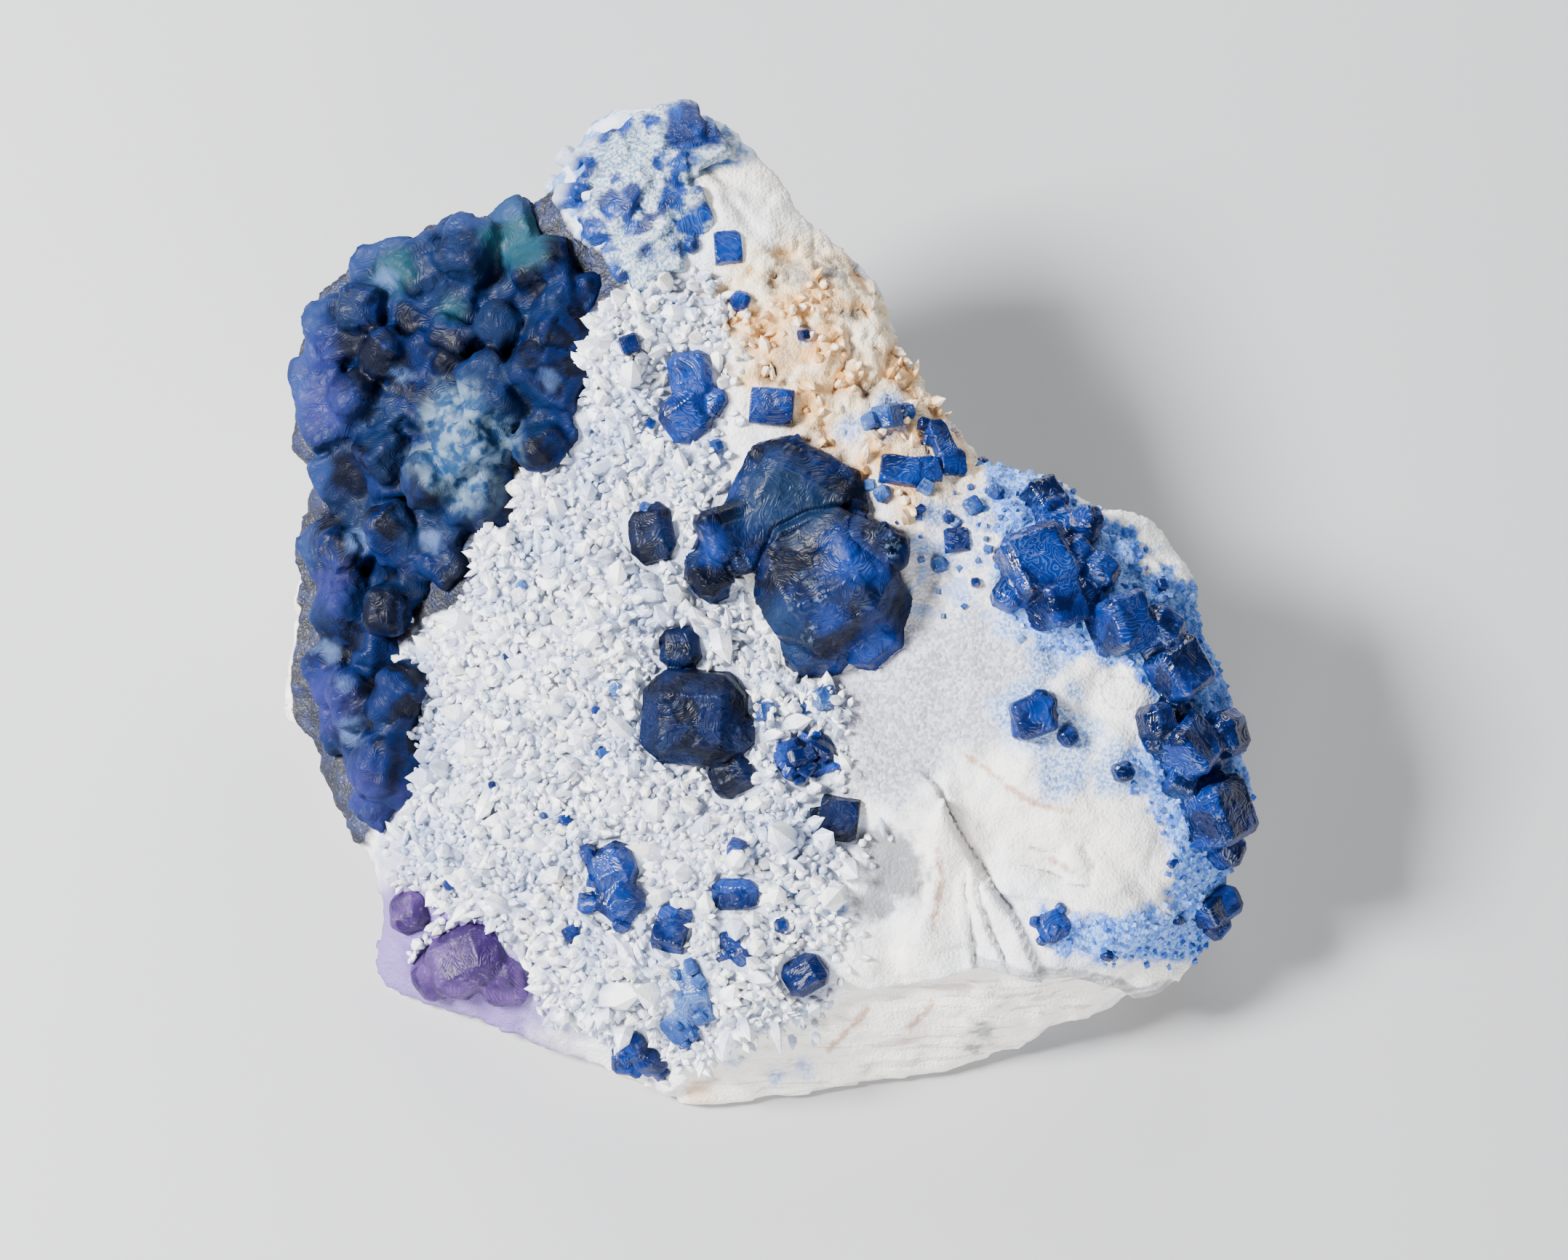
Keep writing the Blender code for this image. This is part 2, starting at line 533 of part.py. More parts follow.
def scatter_quartz(crystals, collection, show_face):
    """Quartz points over the drusy field, apart from where a fluorite sits."""
    rng = random.Random(QUARTZ_SEED)
    left, right = min(u for u, _ in DRUSE_FIELD), max(u for u, _ in DRUSE_FIELD)
    bottom, top = min(v for _, v in DRUSE_FIELD), max(v for _, v in DRUSE_FIELD)
    taken = []
    for _ in range(QUARTZ_TRIES):
        u, v = rng.uniform(left, right), rng.uniform(bottom, top)
        if len(taken) >= QUARTZ_POINTS:
            break
        if not inside((u, v), DRUSE_FIELD):
            continue
        if any((u - a) ** 2 + (v - b) ** 2 < QUARTZ_SPACING**2 for a, b in taken):
            continue
        if any((u - a) ** 2 + (v - b) ** 2 < (half * 1.25 + QUARTZ_CLEARANCE) ** 2 for a, b, half in crystals):
            continue
        taken.append((u, v))
        radius, height = rng.uniform(*QUARTZ_RADIUS), rng.uniform(*QUARTZ_HEIGHT)
        lean = rng.uniform(-QUARTZ_LEAN, QUARTZ_LEAN)
        place = standing_on_face(u, v, height * QUARTZ_SINK, rng.uniform(0, 360), lean)
        mesh = quartz_mesh("quartz_point", radius, height)
        as_helper(add_object(f"quartz_point_{len(taken):03d}", mesh, collection, show_face, place))


def swell(obj, distance):
    modifier = obj.modifiers.new("gap", "DISPLACE")
    modifier.mid_level = 0
    modifier.strength = distance * MM


def main():
    clear_scene()
    parts = make_collection("fluorite_cluster")
    helpers = make_collection("helpers")
    points = make_collection("quartz_points", helpers)
    show_face = make_show_face()

    ground = as_helper(add_object("ground_cut", make_ground(), helpers, show_face))
    ground.parent = None
    rock_mesh = make_rock(show_face, make_material("quartz", QUARTZ_WHITE, 0.75))
    rock = add_object("matrix", rock_mesh, parts, show_face)
    rock_cut = as_helper(add_object("rock_cut", rock_mesh.copy(), helpers, show_face))
    swell(rock_cut, ROCK_GAP)

    crystals = [(u, v, half) for _, growth in FLUORITES.values() for u, v, half, *_ in growth]
    scatter_quartz(crystals, points, show_face)
    boolean(rock, "quartz points", "UNION", points)
    boolean(rock, "flat underside", "DIFFERENCE", ground)

    nodes = [rock]
    for name, (colour, growth) in FLUORITES.items():
        material = make_material(name, colour, 0.25)
        others = make_collection(f"{name}_others", helpers)
        for number, (u, v, half, sink, turn, lean, stretch) in enumerate(growth):
            place = standing_on_face(u, v, half * sink, turn, lean)
            mesh = crystal_mesh(name, half, stretch)
            mesh.materials.append(material)
            if number == 0:
                node = add_object(name, mesh, parts, show_face, place)
            else:
                as_helper(add_object(f"{name}_{number}", mesh, others, show_face, place))
        if len(growth) > 1:
            boolean(node, "grown together", "UNION", others)
        boolean(node, "rock below", "DIFFERENCE", rock_cut)
        boolean(node, "flat underside", "DIFFERENCE", ground)
        nodes.append(node)

    bpy.context.view_layer.update()
    for node in nodes:
        settle_mesh(node)


main()
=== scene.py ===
"""The finish of a fluorite cluster: white quartz, drusy and broken, with blue fluorite grown on it.

Places on the stone's show face are given as a viewer in front of it sees them, in millimetres: u to the
right, v up the face and w out of it, from the middle of the face. An outline or a line is a list of (u, v).
"""

import json
import math

import bmesh
import bpy
import numpy as np
from mathutils import Matrix, Vector
from mathutils.bvhtree import BVHTree

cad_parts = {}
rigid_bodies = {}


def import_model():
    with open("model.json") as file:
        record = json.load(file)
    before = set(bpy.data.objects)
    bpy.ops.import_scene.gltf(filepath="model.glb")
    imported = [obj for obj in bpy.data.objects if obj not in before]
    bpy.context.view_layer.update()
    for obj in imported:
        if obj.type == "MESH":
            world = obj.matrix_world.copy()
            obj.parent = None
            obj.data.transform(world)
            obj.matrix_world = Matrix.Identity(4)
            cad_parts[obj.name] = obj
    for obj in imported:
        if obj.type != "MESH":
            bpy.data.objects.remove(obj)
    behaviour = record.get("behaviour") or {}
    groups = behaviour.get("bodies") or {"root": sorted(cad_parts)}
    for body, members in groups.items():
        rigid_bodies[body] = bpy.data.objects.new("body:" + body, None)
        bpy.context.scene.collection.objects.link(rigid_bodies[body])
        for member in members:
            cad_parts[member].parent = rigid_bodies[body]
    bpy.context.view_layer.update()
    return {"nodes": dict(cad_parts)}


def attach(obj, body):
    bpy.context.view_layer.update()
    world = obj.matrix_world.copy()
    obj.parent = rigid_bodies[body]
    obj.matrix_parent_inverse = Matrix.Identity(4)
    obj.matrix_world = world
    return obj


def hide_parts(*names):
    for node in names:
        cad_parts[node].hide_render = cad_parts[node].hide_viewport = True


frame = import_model()

MM = 0.001

# The stance of the show face, as the solids have it, and the camera that looks straight at it.
SHOW_ELEVATION = math.radians(65)
VIEW_DISTANCE = 338.0
FACE_MIDDLE = np.array((1.9, -5.4, 24.0))
FACE_RIGHT = np.array((1.0, 0.0, 0.0))
FACE_UP = np.array((0.0, math.sin(SHOW_ELEVATION), math.cos(SHOW_ELEVATION)))
FACE_OUT = np.array((0.0, -math.cos(SHOW_ELEVATION), math.sin(SHOW_ELEVATION)))
CAMERA_LENS = 100.0
SENSOR_WIDTH = 36.0

# Where each kind of surface lies on the show face.
DRUSE = [
    (-18.2, 20.3), (-14.0, 24.6), (-9.0, 27.4), (-6.4, 27.6), (-4.6, 24.8), (-4.3, 20.3), (-4.6, 16.0),
    (-5.4, 12.4), (-4.5, 9.0), (-2.5, 1.5), (-1.4, -2.8), (3.6, -4.0), (5.2, -5.2), (5.2, -12.5),
    (6.7, -15.6), (4.3, -18.6), (4.3, -25.3), (3.0, -29.6), (-2.4, -30.8), (-7.3, -33.2), (-14.6, -32.0),
    (-29.2, -26.5), (-29.8, -20.5), (-31.6, -17.4), (-30.1, -12.5), (-29.2, -6.5), (-30.4, -4.6),
    (-28.3, 0.2), (-23.7, 3.3), (-23.1, 9.4), (-18.9, 13.0),
]
DARK_WALL = [
    (-17.5, 34.0), (-16.1, 30.6), (-12.8, 28.8), (-12.2, 26.1), (-14.9, 24.0), (-18.2, 20.0),
    (-19.5, 18.5), (-18.9, 13.0), (-21.3, 11.2), (-23.1, 9.4), (-23.7, 3.3), (-26.2, 1.4), (-28.3, 0.2),
    (-30.1, -2.2), (-30.4, -4.6), (-29.2, -6.5), (-29.8, -9.5), (-30.1, -12.5), (-32.2, -16.8),
    (-36.3, -16.8), (-43.4, -5.9), (-43.4, 12.4), (-43.4, 24.6), (-33.6, 35.7), (-23.1, 36.9),
]
VIOLET_FOOT = [
    (-33.2, -18.6), (-26.8, -19.5), (-23.1, -22.3), (-18.9, -26.5), (-18.2, -29.6), (-17.0, -33.6),
    (-24.3, -33.0), (-33.8, -30.6),
]
HEAD_CRUST = [
    (-17.9, 33.7), (-19.2, 36.7), (-16.8, 40.8), (-9.1, 43.0), (-3.6, 40.2), (-1.8, 36.1), (-6.4, 35.8),
    (-7.0, 33.7), (-5.8, 31.6), (-6.4, 29.4), (-9.1, 27.9), (-11.3, 26.7), (-13.1, 28.8), (-16.1, 30.6),
]
OCHRE_SHOULDER = [
    (-2.4, 30.0), (3.6, 31.0), (8.3, 28.2), (11.9, 22.1), (16.8, 14.2), (17.6, 12.4), (12.6, 10.6),
    (10.6, 8.0), (9.0, 9.0), (7.0, 10.6), (5.5, 12.4), (3.6, 13.6), (0.6, 14.8), (-2.4, 17.3),
    (-4.3, 19.1), (-4.6, 22.1), (-5.8, 24.0), (-7.3, 26.4),
]
COBALT_CRUST = [
    (15.5, 13.0), (15.9, 7.5), (16.7, 2.7), (18.2, 0.2), (20.1, -1.6), (24.3, -2.3), (27.4, -4.0),
    (28.6, -6.5), (27.4, -8.9), (26.2, -11.3), (29.2, -15.0), (30.2, -18.6), (29.2, -21.4), (24.3, -22.2),
    (20.1, -21.8), (19.8, -23.5), (21.0, -25.0), (25.5, -25.8), (30.4, -25.4), (40.9, -24.1), (40.9, -5.9),
    (33.6, 14.4), (21.3, 18.0), (17.6, 14.8),
]
SPECKLED_SLOPE = [
    (9.1, 10.0), (15.5, 12.4), (18.6, 2.7), (14.6, 0.2), (9.7, 1.4), (8.5, 6.3),
]
GREY_FACET = [
    (3.6, -4.6), (6.1, -1.6), (9.7, 0.8), (17.0, 2.1), (20.7, -2.8), (19.5, -7.7), (13.4, -9.5),
    (9.1, -15.0), (5.5, -13.2), (4.3, -8.9),
]
WALL_TOP = [
    (-8.5, -35.4), (-4.9, -32.0), (0.0, -30.1), (4.9, -27.9), (9.1, -27.4), (11.8, -27.0), (14.8, -26.0),
    (18.9, -26.7), (22.0, -26.7), (25.2, -27.5), (27.0, -28.3), (28.9, -27.7), (29.8, -26.8),
]
FRONT_WALL = [*WALL_TOP, (36.0, -42.0), (-8.0, -44.0)]
OUTLINES = {
    "druse": DRUSE, "dark": DARK_WALL, "ochre": OCHRE_SHOULDER, "cobalt": COBALT_CRUST, "facet": GREY_FACET,
    "wall": FRONT_WALL, "violet": VIOLET_FOOT, "slope": SPECKLED_SLOPE, "head": HEAD_CRUST,
}

# The left rim of the face, down from the head. The dark wall and the violet foot end at it.
LEFT_RIM = [
    (-15.2, 39.2), (-17.0, 37.3), (-18.2, 33.9), (-21.9, 32.5), (-27.4, 31.6), (-31.6, 30.0), (-33.5, 28.2),
    (-35.9, 26.4), (-37.2, 23.3), (-37.7, 19.7), (-38.3, 16.0), (-38.1, 14.0), (-35.9, 12.6), (-36.5, 11.2),
    (-37.4, 6.9), (-37.8, 3.9), (-37.7, 0.2), (-38.4, -4.6), (-38.3, -6.8), (-36.5, -10.1), (-34.1, -15.0),
    (-32.2, -18.0), (-31.5, -21.5), (-31.6, -26.5), (-31.0, -28.1), (-21.9, -30.8), (-14.6, -33.8),
]
# The top edge of the head.
HEAD_TOP = [(-15.2, 39.2), (-12.1, 40.3), (-9.0, 40.6), (-6.8, 40.4), (-4.2, 38.8), (-1.5, 36.8)]

# Round patches of one colour each, as (u, v, radius). The first five kinds lie on the quartz.
ROCK_PATCHES = ("film", "smoke", "pit", "gold", "white")
PATCHES = {
    "film": [
        (18.0, 0.9, 1.8), (21.0, -2.1, 2.0), (22.4, -4.6, 1.2), (19.4, -6.7, 3.1), (22.8, -8.4, 2.1),
        (26.0, -10.8, 2.2), (21.4, -11.5, 2.0), (24.9, -1.9, 1.4), (8.0, 16.5, 1.5), (5.2, 15.4, 1.0),
        (1.4, 22.9, 0.4), (12.6, 19.0, 0.8), (13.8, 16.4, 0.8), (11.6, 8.6, 0.9), (12.6, 5.6, 1.0),
        (15.0, 9.4, 1.1), (14.4, 6.6, 0.9), (17.2, 8.4, 1.1), (16.6, 4.0, 1.0), (10.9, 6.4, 0.7),
        (14.0, 2.6, 0.7), (2.9, -5.4, 0.9), (-1.3, -6.0, 0.9), (-13.1, -4.6, 0.9), (-14.0, -9.4, 1.0),
        (-7.9, 11.8, 0.8), (-5.0, 13.6, 0.9), (-3.4, -17.2, 0.8), (-16.4, -23.5, 1.0), (-17.0, -14.7, 0.7),
        (-11.4, 12.0, 0.7), (0.6, -20.6, 0.9), (4.0, -21.4, 0.9), (-0.7, -34.6, 0.5), (-3.9, -33.4, 0.4),
        (1.8, -33.9, 0.4),
    ],
    "smoke": [
        (8.0, -17.4, 2.1), (8.8, -19.0, 2.2), (7.2, -20.8, 1.7), (6.6, -16.6, 1.3), (15.3, -31.0, 0.8),
        (14.6, -32.0, 0.5), (-5.4, 23.4, 1.0), (3.3, 27.7, 0.9), (0.6, 27.6, 0.8), (4.7, 24.2, 0.5),
        (-11.2, 25.5, 0.9), (-4.8, 37.1, 0.8), (-3.0, 22.0, 0.6), (6.7, 18.2, 0.4),
    ],
    "pit": [
        (-0.7, 27.6, 0.55), (-0.8, 26.6, 0.5), (-5.1, 20.9, 0.6), (-4.6, 20.0, 0.5), (-1.1, 19.8, 0.9),
        (0.0, 19.2, 0.5), (1.9, 14.8, 0.5), (2.4, 15.6, 0.3), (4.6, 13.4, 0.4),
    ],
    "gold": [
        (-1.5, 22.8, 1.8), (3.0, 22.2, 1.6), (2.4, 18.0, 1.2), (8.7, 16.0, 1.2), (7.3, 14.4, 0.9),
        (3.5, 14.4, 0.8), (2.1, 17.2, 0.8), (9.0, 20.4, 1.6), (-3.6, 24.4, 1.2), (-6.7, -35.9, 0.9),
        (-1.0, 20.6, 1.0), (5.8, 12.4, 1.0), (12.0, 17.6, 1.0), (2.6, 26.0, 1.2), (8.6, 12.6, 1.3),
        (9.4, 11.0, 1.0), (9.9, 9.4, 0.8), (7.6, 14.0, 1.0), (0.4, 24.6, 1.3), (5.0, 19.6, 1.0),
        (10.6, 15.2, 0.8),
    ],
    "white": [
        (28.3, 5.1, 0.7), (31.2, -1.4, 0.8), (31.7, -9.8, 0.8), (25.6, -5.0, 2.1), (16.4, 6.4, 0.8),
        (22.0, 11.6, 0.9), (23.8, 10.6, 1.1), (25.6, 9.8, 1.2), (27.2, 8.8, 1.3), (28.6, 7.4, 1.2),
        (29.8, 5.8, 1.0), (30.6, 4.2, 0.8),
    ],
    # The pair's slate-grey faces, in part a painted sheen.
    "slate": [(-0.7, 10.3, 2.6), (1.8, 9.6, 1.8), (-0.2, 0.8, 1.3), (-2.4, 9.0, 1.4), (0.4, -1.4, 0.8)],
    # Painted glow: brighter deep blue where light comes through the pair.
    "lit": [
        (5.1, 5.4, 1.5), (6.6, 4.6, 0.9), (7.9, -0.7, 1.3), (6.6, -1.9, 1.2), (3.6, 0.6, 0.8),
        (5.2, -3.0, 0.8), (-5.2, 11.4, 1.0), (-5.6, 6.6, 0.8), (4.0, 6.6, 0.6),
    ],
    "frosted": [
        (2.1, 3.4, 0.4), (2.8, 2.6, 0.4), (1.4, 4.1, 0.3), (8.5, 6.9, 0.4), (8.3, 5.9, 0.3),
        (2.2, 0.2, 0.2), (2.0, -0.8, 0.2),
    ],
    "sugar": [
        (-25.6, 16.4, 2.4), (-23.4, 14.6, 2.4), (-26.4, 13.0, 2.0), (-23.8, 11.6, 1.6), (-25.0, 10.2, 1.0),
    ],
    "teal": [(-20.8, 30.8, 2.5), (-20.2, 32.4, 2.0), (-30.4, 28.0, 1.5), (-26.0, 25.0, 0.8)],
    "lilac": [
        (-36.8, 17.5, 2.4), (-37.0, 21.5, 1.6), (-36.4, -5.5, 2.4), (-33.4, -12.5, 2.2),
        (-31.6, -15.8, 1.8), (-35.4, 3.5, 1.4), (-29.0, -13.0, 1.0),
    ],
    # Painted glints on the dark wall.
    "glint": [
        (-29.8, 19.7, 0.7), (-33.2, 6.9, 0.8), (-27.4, 7.2, 0.6), (-35.0, -1.6, 0.7), (-33.5, -7.7, 0.8),
        (-31.0, 27.4, 0.8), (-18.2, 19.4, 0.7), (-34.4, -4.2, 0.4), (-36.6, -1.2, 0.4),
    ],
    "royal": [
        (-7.4, 39.2, 2.1), (-5.8, 38.4, 1.2), (-12.8, 39.2, 1.0), (-14.0, 38.2, 0.9), (-15.4, 36.2, 1.1),
        (-16.2, 33.6, 1.5), (-13.6, 33.2, 1.2), (-11.9, 34.0, 0.9), (-6.2, 32.4, 1.0), (-7.2, 29.8, 0.8),
        (-14.2, 27.4, 1.6), (-8.8, 33.6, 1.0), (-16.6, 31.2, 1.0), (-6.8, 36.4, 0.6), (-6.6, 34.6, 0.6),
        (-10.6, 29.4, 0.7),
    ],
}


def show_place(points):
    """The places (u, v, w) of points given in metres, as a viewer in front of the show face sees them."""
    local = (points / MM - FACE_MIDDLE) @ np.column_stack((FACE_RIGHT, FACE_UP, FACE_OUT))
    spread = 1 - local[:, 2] / VIEW_DISTANCE
    return local[:, 0] / spread, local[:, 1] / spread, local[:, 2]


def soft(value, low, high):
    """0 up to low, 1 from high on, and smooth between."""
    share = np.clip((value - low) / (high - low), 0, 1)
    return share * share * (3 - 2 * share)


def line_distance(u, v, line):
    """How far each place lies from a line, in millimetres."""
    nearest = np.full(len(u), 1e3)
    for (u1, v1), (u2, v2) in zip(line, line[1:]):
        run_u, run_v = u2 - u1, v2 - v1
        share = np.clip(((u - u1) * run_u + (v - v1) * run_v) / (run_u**2 + run_v**2), 0, 1)
        nearest = np.minimum(nearest, np.hypot(u - u1 - share * run_u, v - v1 - share * run_v))
    return nearest


def line_side(u, v, line):
    """How far each place lies to the left of a line, seen along it. To the right it is negative."""
    nearest, side = np.full(len(u), 1e3), np.zeros(len(u))
    for (u1, v1), (u2, v2) in zip(line, line[1:]):
        far = line_distance(u, v, [(u1, v1), (u2, v2)])
        left = ((u2 - u1) * (v - v1) - (v2 - v1) * (u - u1)) / math.hypot(u2 - u1, v2 - v1)
        side = np.where(far < nearest, left, side)
        nearest = np.minimum(nearest, far)
    return side


def patch_reach(u, v, patches):
    """How far inside the nearest round patch each place lies, in millimetres."""
    return np.max([radius - np.hypot(u - a, v - b) for a, b, radius in patches], axis=0)


def reach(u, v, outline):
    """How far inside an outline each place lies, in millimetres. Outside it is negative."""
    closed = [*outline, outline[0]]
    inside = np.zeros(len(u), bool)
    for (u1, v1), (u2, v2) in zip(closed, closed[1:]):
        if v1 != v2:
            inside ^= ((v1 > v) != (v2 > v)) & (u < (u2 - u1) * (v - v1) / (v2 - v1) + u1)
    return np.where(inside, 1, -1) * line_distance(u, v, closed)


def random_at(cell, seed):
    """A random number from 0 to 1 for each whole-numbered place in space."""
    mixed = cell.astype(np.int64) @ np.array((73856093, 19349663, 83492791)) + seed * 2654435761
    mixed = (mixed ^ (mixed >> 13)) * 1274126177 & 0x7FFFFFFF
    mixed = (mixed ^ (mixed >> 11)) * 97531 & 0x7FFFFFFF
    return (mixed & 0xFFFFFF) / 0x1000000


def lumps(places, size, seed, octaves=3):
    """Smooth random heights between -1 and 1, with lumps about size across, and finer ones on them."""
    total, weight = 0.0, 0.0
    for octave in range(octaves):
        scaled = places / size * 2**octave + 31.7 * octave
        base = np.floor(scaled)
        share = scaled - base
        share = share * share * (3 - 2 * share)
        height = 0.0
        for corner in np.ndindex(2, 2, 2):
            part = np.prod(np.where(corner, share, 1 - share), axis=1)
            height = height + part * random_at(base + corner, seed + octave)
        total = total + (height * 2 - 1) * 0.5**octave
        weight += 0.5**octave
    return total / weight


def chunks(places, size, seed):
    """Splits space into chunks about size across: a random number for each, and how far its border is."""
    scaled = places / size
    base = np.floor(scaled)
    first, second = np.full(len(places), 1e3), np.full(len(places), 1e3)
    chosen = np.zeros(len(places))
    for step in np.ndindex(3, 3, 3):
        cell = base + step - 1
        core = cell + np.column_stack([random_at(cell, seed + axis) for axis in range(3)])
        far = np.linalg.norm(core - scaled, axis=1)
        nearer = far < first
        second = np.where(nearer, first, np.minimum(second, far))
        chosen = np.where(nearer, random_at(cell, seed + 7), chosen)
        first = np.minimum(first, far)
    return chosen, (second - first) * size


def mesh_places(mesh):
    points = np.empty(len(mesh.vertices) * 3, np.float32)
    mesh.vertices.foreach_get("co", points)
    return points.reshape(-1, 3).astype(float)


def mesh_normals(mesh):
    normals = np.empty(len(mesh.vertices) * 3, np.float32)
    mesh.vertex_normals.foreach_get("vector", normals)
    return normals.reshape(-1, 3).astype(float)


def place_mesh(mesh, points):
    mesh.vertices.foreach_set("co", points.astype(np.float32).ravel())
    mesh.update()


def set_field(mesh, name, values):
    field = mesh.attributes.get(name) or mesh.attributes.new(name, "FLOAT", "POINT")
    field.data.foreach_set("value", values.astype(np.float32))


def new_object(name, mesh):
    obj = bpy.data.objects.new(name, mesh)
    bpy.context.scene.collection.objects.link(obj)
    return obj


def evaluated_mesh(obj):
    """The plain mesh that an object's modifiers make. The object is removed."""
    graph = bpy.context.evaluated_depsgraph_get()
    mesh = bpy.data.meshes.new_from_object(obj.evaluated_get(graph))
    bpy.data.objects.remove(obj)
    return mesh


def solid_copy(node):
    """A copy of a CAD node's mesh with its loose triangles joined."""
    bm = bmesh.new()
    bm.from_mesh(frame["nodes"][node].data)
    bmesh.ops.remove_doubles(bm, verts=bm.verts, dist=0.002 * MM)
    bmesh.ops.dissolve_limit(bm, angle_limit=math.radians(1), verts=bm.verts, edges=bm.edges)
    mesh = bpy.data.meshes.new(node)
    bm.to_mesh(mesh)
    bm.free()
    return mesh


def even_mesh(mesh, grain, smoothing):
    """The same solid with even faces about grain millimetres across, its edges eased by smoothing."""
    obj = new_object("even_mesh", mesh)
    remesh = obj.modifiers.new("remesh", "REMESH")
    remesh.mode = "VOXEL"
    remesh.voxel_size = grain * MM
    if smoothing:
        smooth = obj.modifiers.new("smooth", "SMOOTH")
        smooth.factor = 0.5
        smooth.iterations = smoothing
    return evaluated_mesh(obj)


KEPT_FIELDS = {"tone": 0.5, "rise": 1.0}


def joined(name, meshes):
    """One mesh of several. Each keeps its materials, and the tone and rise of its crystals."""
    kept = {field: [] for field in KEPT_FIELDS}
    materials = []
    bm = bmesh.new()
    for mesh in meshes:
        for field, default in KEPT_FIELDS.items():
            values = np.full(len(mesh.vertices), default, np.float32)
            if field in mesh.attributes:
                mesh.attributes[field].data.foreach_get("value", values)
            kept[field].append(values)
        slots = []
        for material in mesh.materials:
            if material not in materials:
                materials.append(material)
            slots.append(materials.index(material))
        start = len(bm.faces)
        bm.from_mesh(mesh)
        bm.faces.ensure_lookup_table()
        for face in bm.faces[start:]:
            face.material_index = slots[face.material_index] if slots else 0
    whole = bpy.data.meshes.new(name)
    bm.to_mesh(whole)
    bm.free()
    for field in [field.name for field in whole.attributes if field.name in KEPT_FIELDS]:
        whole.attributes.remove(whole.attributes[field])
    for field, values in kept.items():
        set_field(whole, field, np.concatenate(values))
    for material in materials:
        whole.materials.append(material)
    return whole


class NodeMaker:
    """Adds nodes to a tree. A value given for a socket may be another node's socket, which is then linked."""

    def __init__(self, tree):
        self.tree = tree

    def node(self, kind, inputs=(), **settings):
        node = self.tree.nodes.new(kind)
        for name, value in settings.items():
            setattr(node, name, value)
        for name, value in dict(inputs).items():
            self.put(node.inputs[name], value)
        return node

    def put(self, socket, value):
        if isinstance(value, bpy.types.NodeSocket):
            self.tree.links.new(value, socket)
        else:
            socket.default_value = (*value, 1) if socket.type == "RGBA" else value

    def math(self, operation, first, second=0.0):
        return self.node("ShaderNodeMath", {0: first, 1: second}, operation=operation).outputs[0]

    def plus(self, first, second):
        return self.math("ADD", first, second)

    def times(self, first, second):
        return self.math("MULTIPLY", first, second)

    def between(self, value, low, high, new_low=0.0, new_high=1.0):
        inputs = {0: value, 1: low, 2: high, 3: new_low, 4: new_high}
        return self.node("ShaderNodeMapRange", inputs, interpolation_type="SMOOTHSTEP").outputs[0]

    def blend(self, share, first, second):
        return self.node("ShaderNodeMix", {0: share, 6: first, 7: second}, data_type="RGBA").outputs[2]

    def place(self):
        return self.node("ShaderNodeTexCoord").outputs["Object"]

    def noise(self, place, scale, detail=3.0, distortion=0.0):
        inputs = {"Vector": place, "Scale": scale, "Detail": detail, "Distortion": distortion}
        return self.node("ShaderNodeTexNoise", inputs).outputs["Fac"]

    def field(self, name):
        return self.node("ShaderNodeAttribute", attribute_name=name).outputs["Fac"]


def new_group(name, inputs, outputs):
    """A shader node group with its named sockets, its maker, and its input and output nodes."""
    tree = bpy.data.node_groups.new(name, "ShaderNodeTree")
    for socket, kind, value in inputs:
        tree.interface.new_socket(name=socket, in_out="INPUT", socket_type=kind).default_value = value
    for socket, kind in outputs:
        tree.interface.new_socket(name=socket, in_out="OUTPUT", socket_type=kind)
    maker = NodeMaker(tree)
    return tree, maker, maker.node("NodeGroupInput").outputs, maker.node("NodeGroupOutput").inputs


FLOAT, VECTOR = "NodeSocketFloat", "NodeSocketVector"


def make_ragged_edge():
    """Turns a reach in millimetres into a mask whose edge is ragged, as a stain or a crust ends."""
    inputs = [
        ("Place", VECTOR, (0, 0, 0)), ("Reach", FLOAT, 0), ("Ragged", FLOAT, 1), ("Softness", FLOAT, 0.2),
        ("Scale", FLOAT, 500),
    ]
    tree, maker, given, result = new_group("ragged_edge", inputs, [("Mask", FLOAT)])
    wander = maker.math("SUBTRACT", maker.noise(given["Place"], given["Scale"], 4), 0.5)
    wander = maker.times(wander, maker.times(given["Ragged"], 4))
    low = maker.times(given["Softness"], -1)
    maker.put(result["Mask"], maker.between(maker.plus(given["Reach"], wander), low, given["Softness"]))
    return tree


def make_sugar_grain():
    """The grain of a sugary mineral: a value that varies from grain to grain, and a height for its bumps."""
    inputs = [("Place", VECTOR, (0, 0, 0)), ("Scale", FLOAT, 3000)]
    tree, maker, given, result = new_group("sugar_grain", inputs, [("Grain", FLOAT), ("Height", FLOAT)])
    cells = maker.node("ShaderNodeTexVoronoi", {"Vector": given["Place"], "Scale": given["Scale"]})
    tone = maker.node("ShaderNodeSeparateColor", {0: cells.outputs["Color"]}).outputs[0]
    fine = maker.noise(given["Place"], maker.times(given["Scale"], 1.7), 2)
    maker.put(result["Grain"], maker.times(maker.plus(tone, fine), 0.5))
    maker.put(result["Height"], maker.math("SUBTRACT", fine, cells.outputs["Distance"]))
    return tree


def make_growth_swirls():
    """The fine winding steps that a fluorite face grows in, as a height."""
    inputs = [("Place", VECTOR, (0, 0, 0)), ("Scale", FLOAT, 300), ("Steps", FLOAT, 110)]
    tree, maker, given, result = new_group("growth_swirls", inputs, [("Height", FLOAT)])
    course = maker.noise(given["Place"], given["Scale"], 2, 1.2)
    maker.put(result["Height"], maker.math("SINE", maker.times(course, given["Steps"])))
    return tree


def material_with(name, **constants):
    """A new material, its maker and its Principled shader, whose plain values are set on its sockets."""
    material = bpy.data.materials.new(name)
    material.use_nodes = True
    maker = NodeMaker(material.node_tree)
    shader = material.node_tree.nodes["Principled BSDF"]
    for socket, value in constants.items():
        shader.inputs[socket.replace("_", " ")].default_value = value
    return material, maker, shader


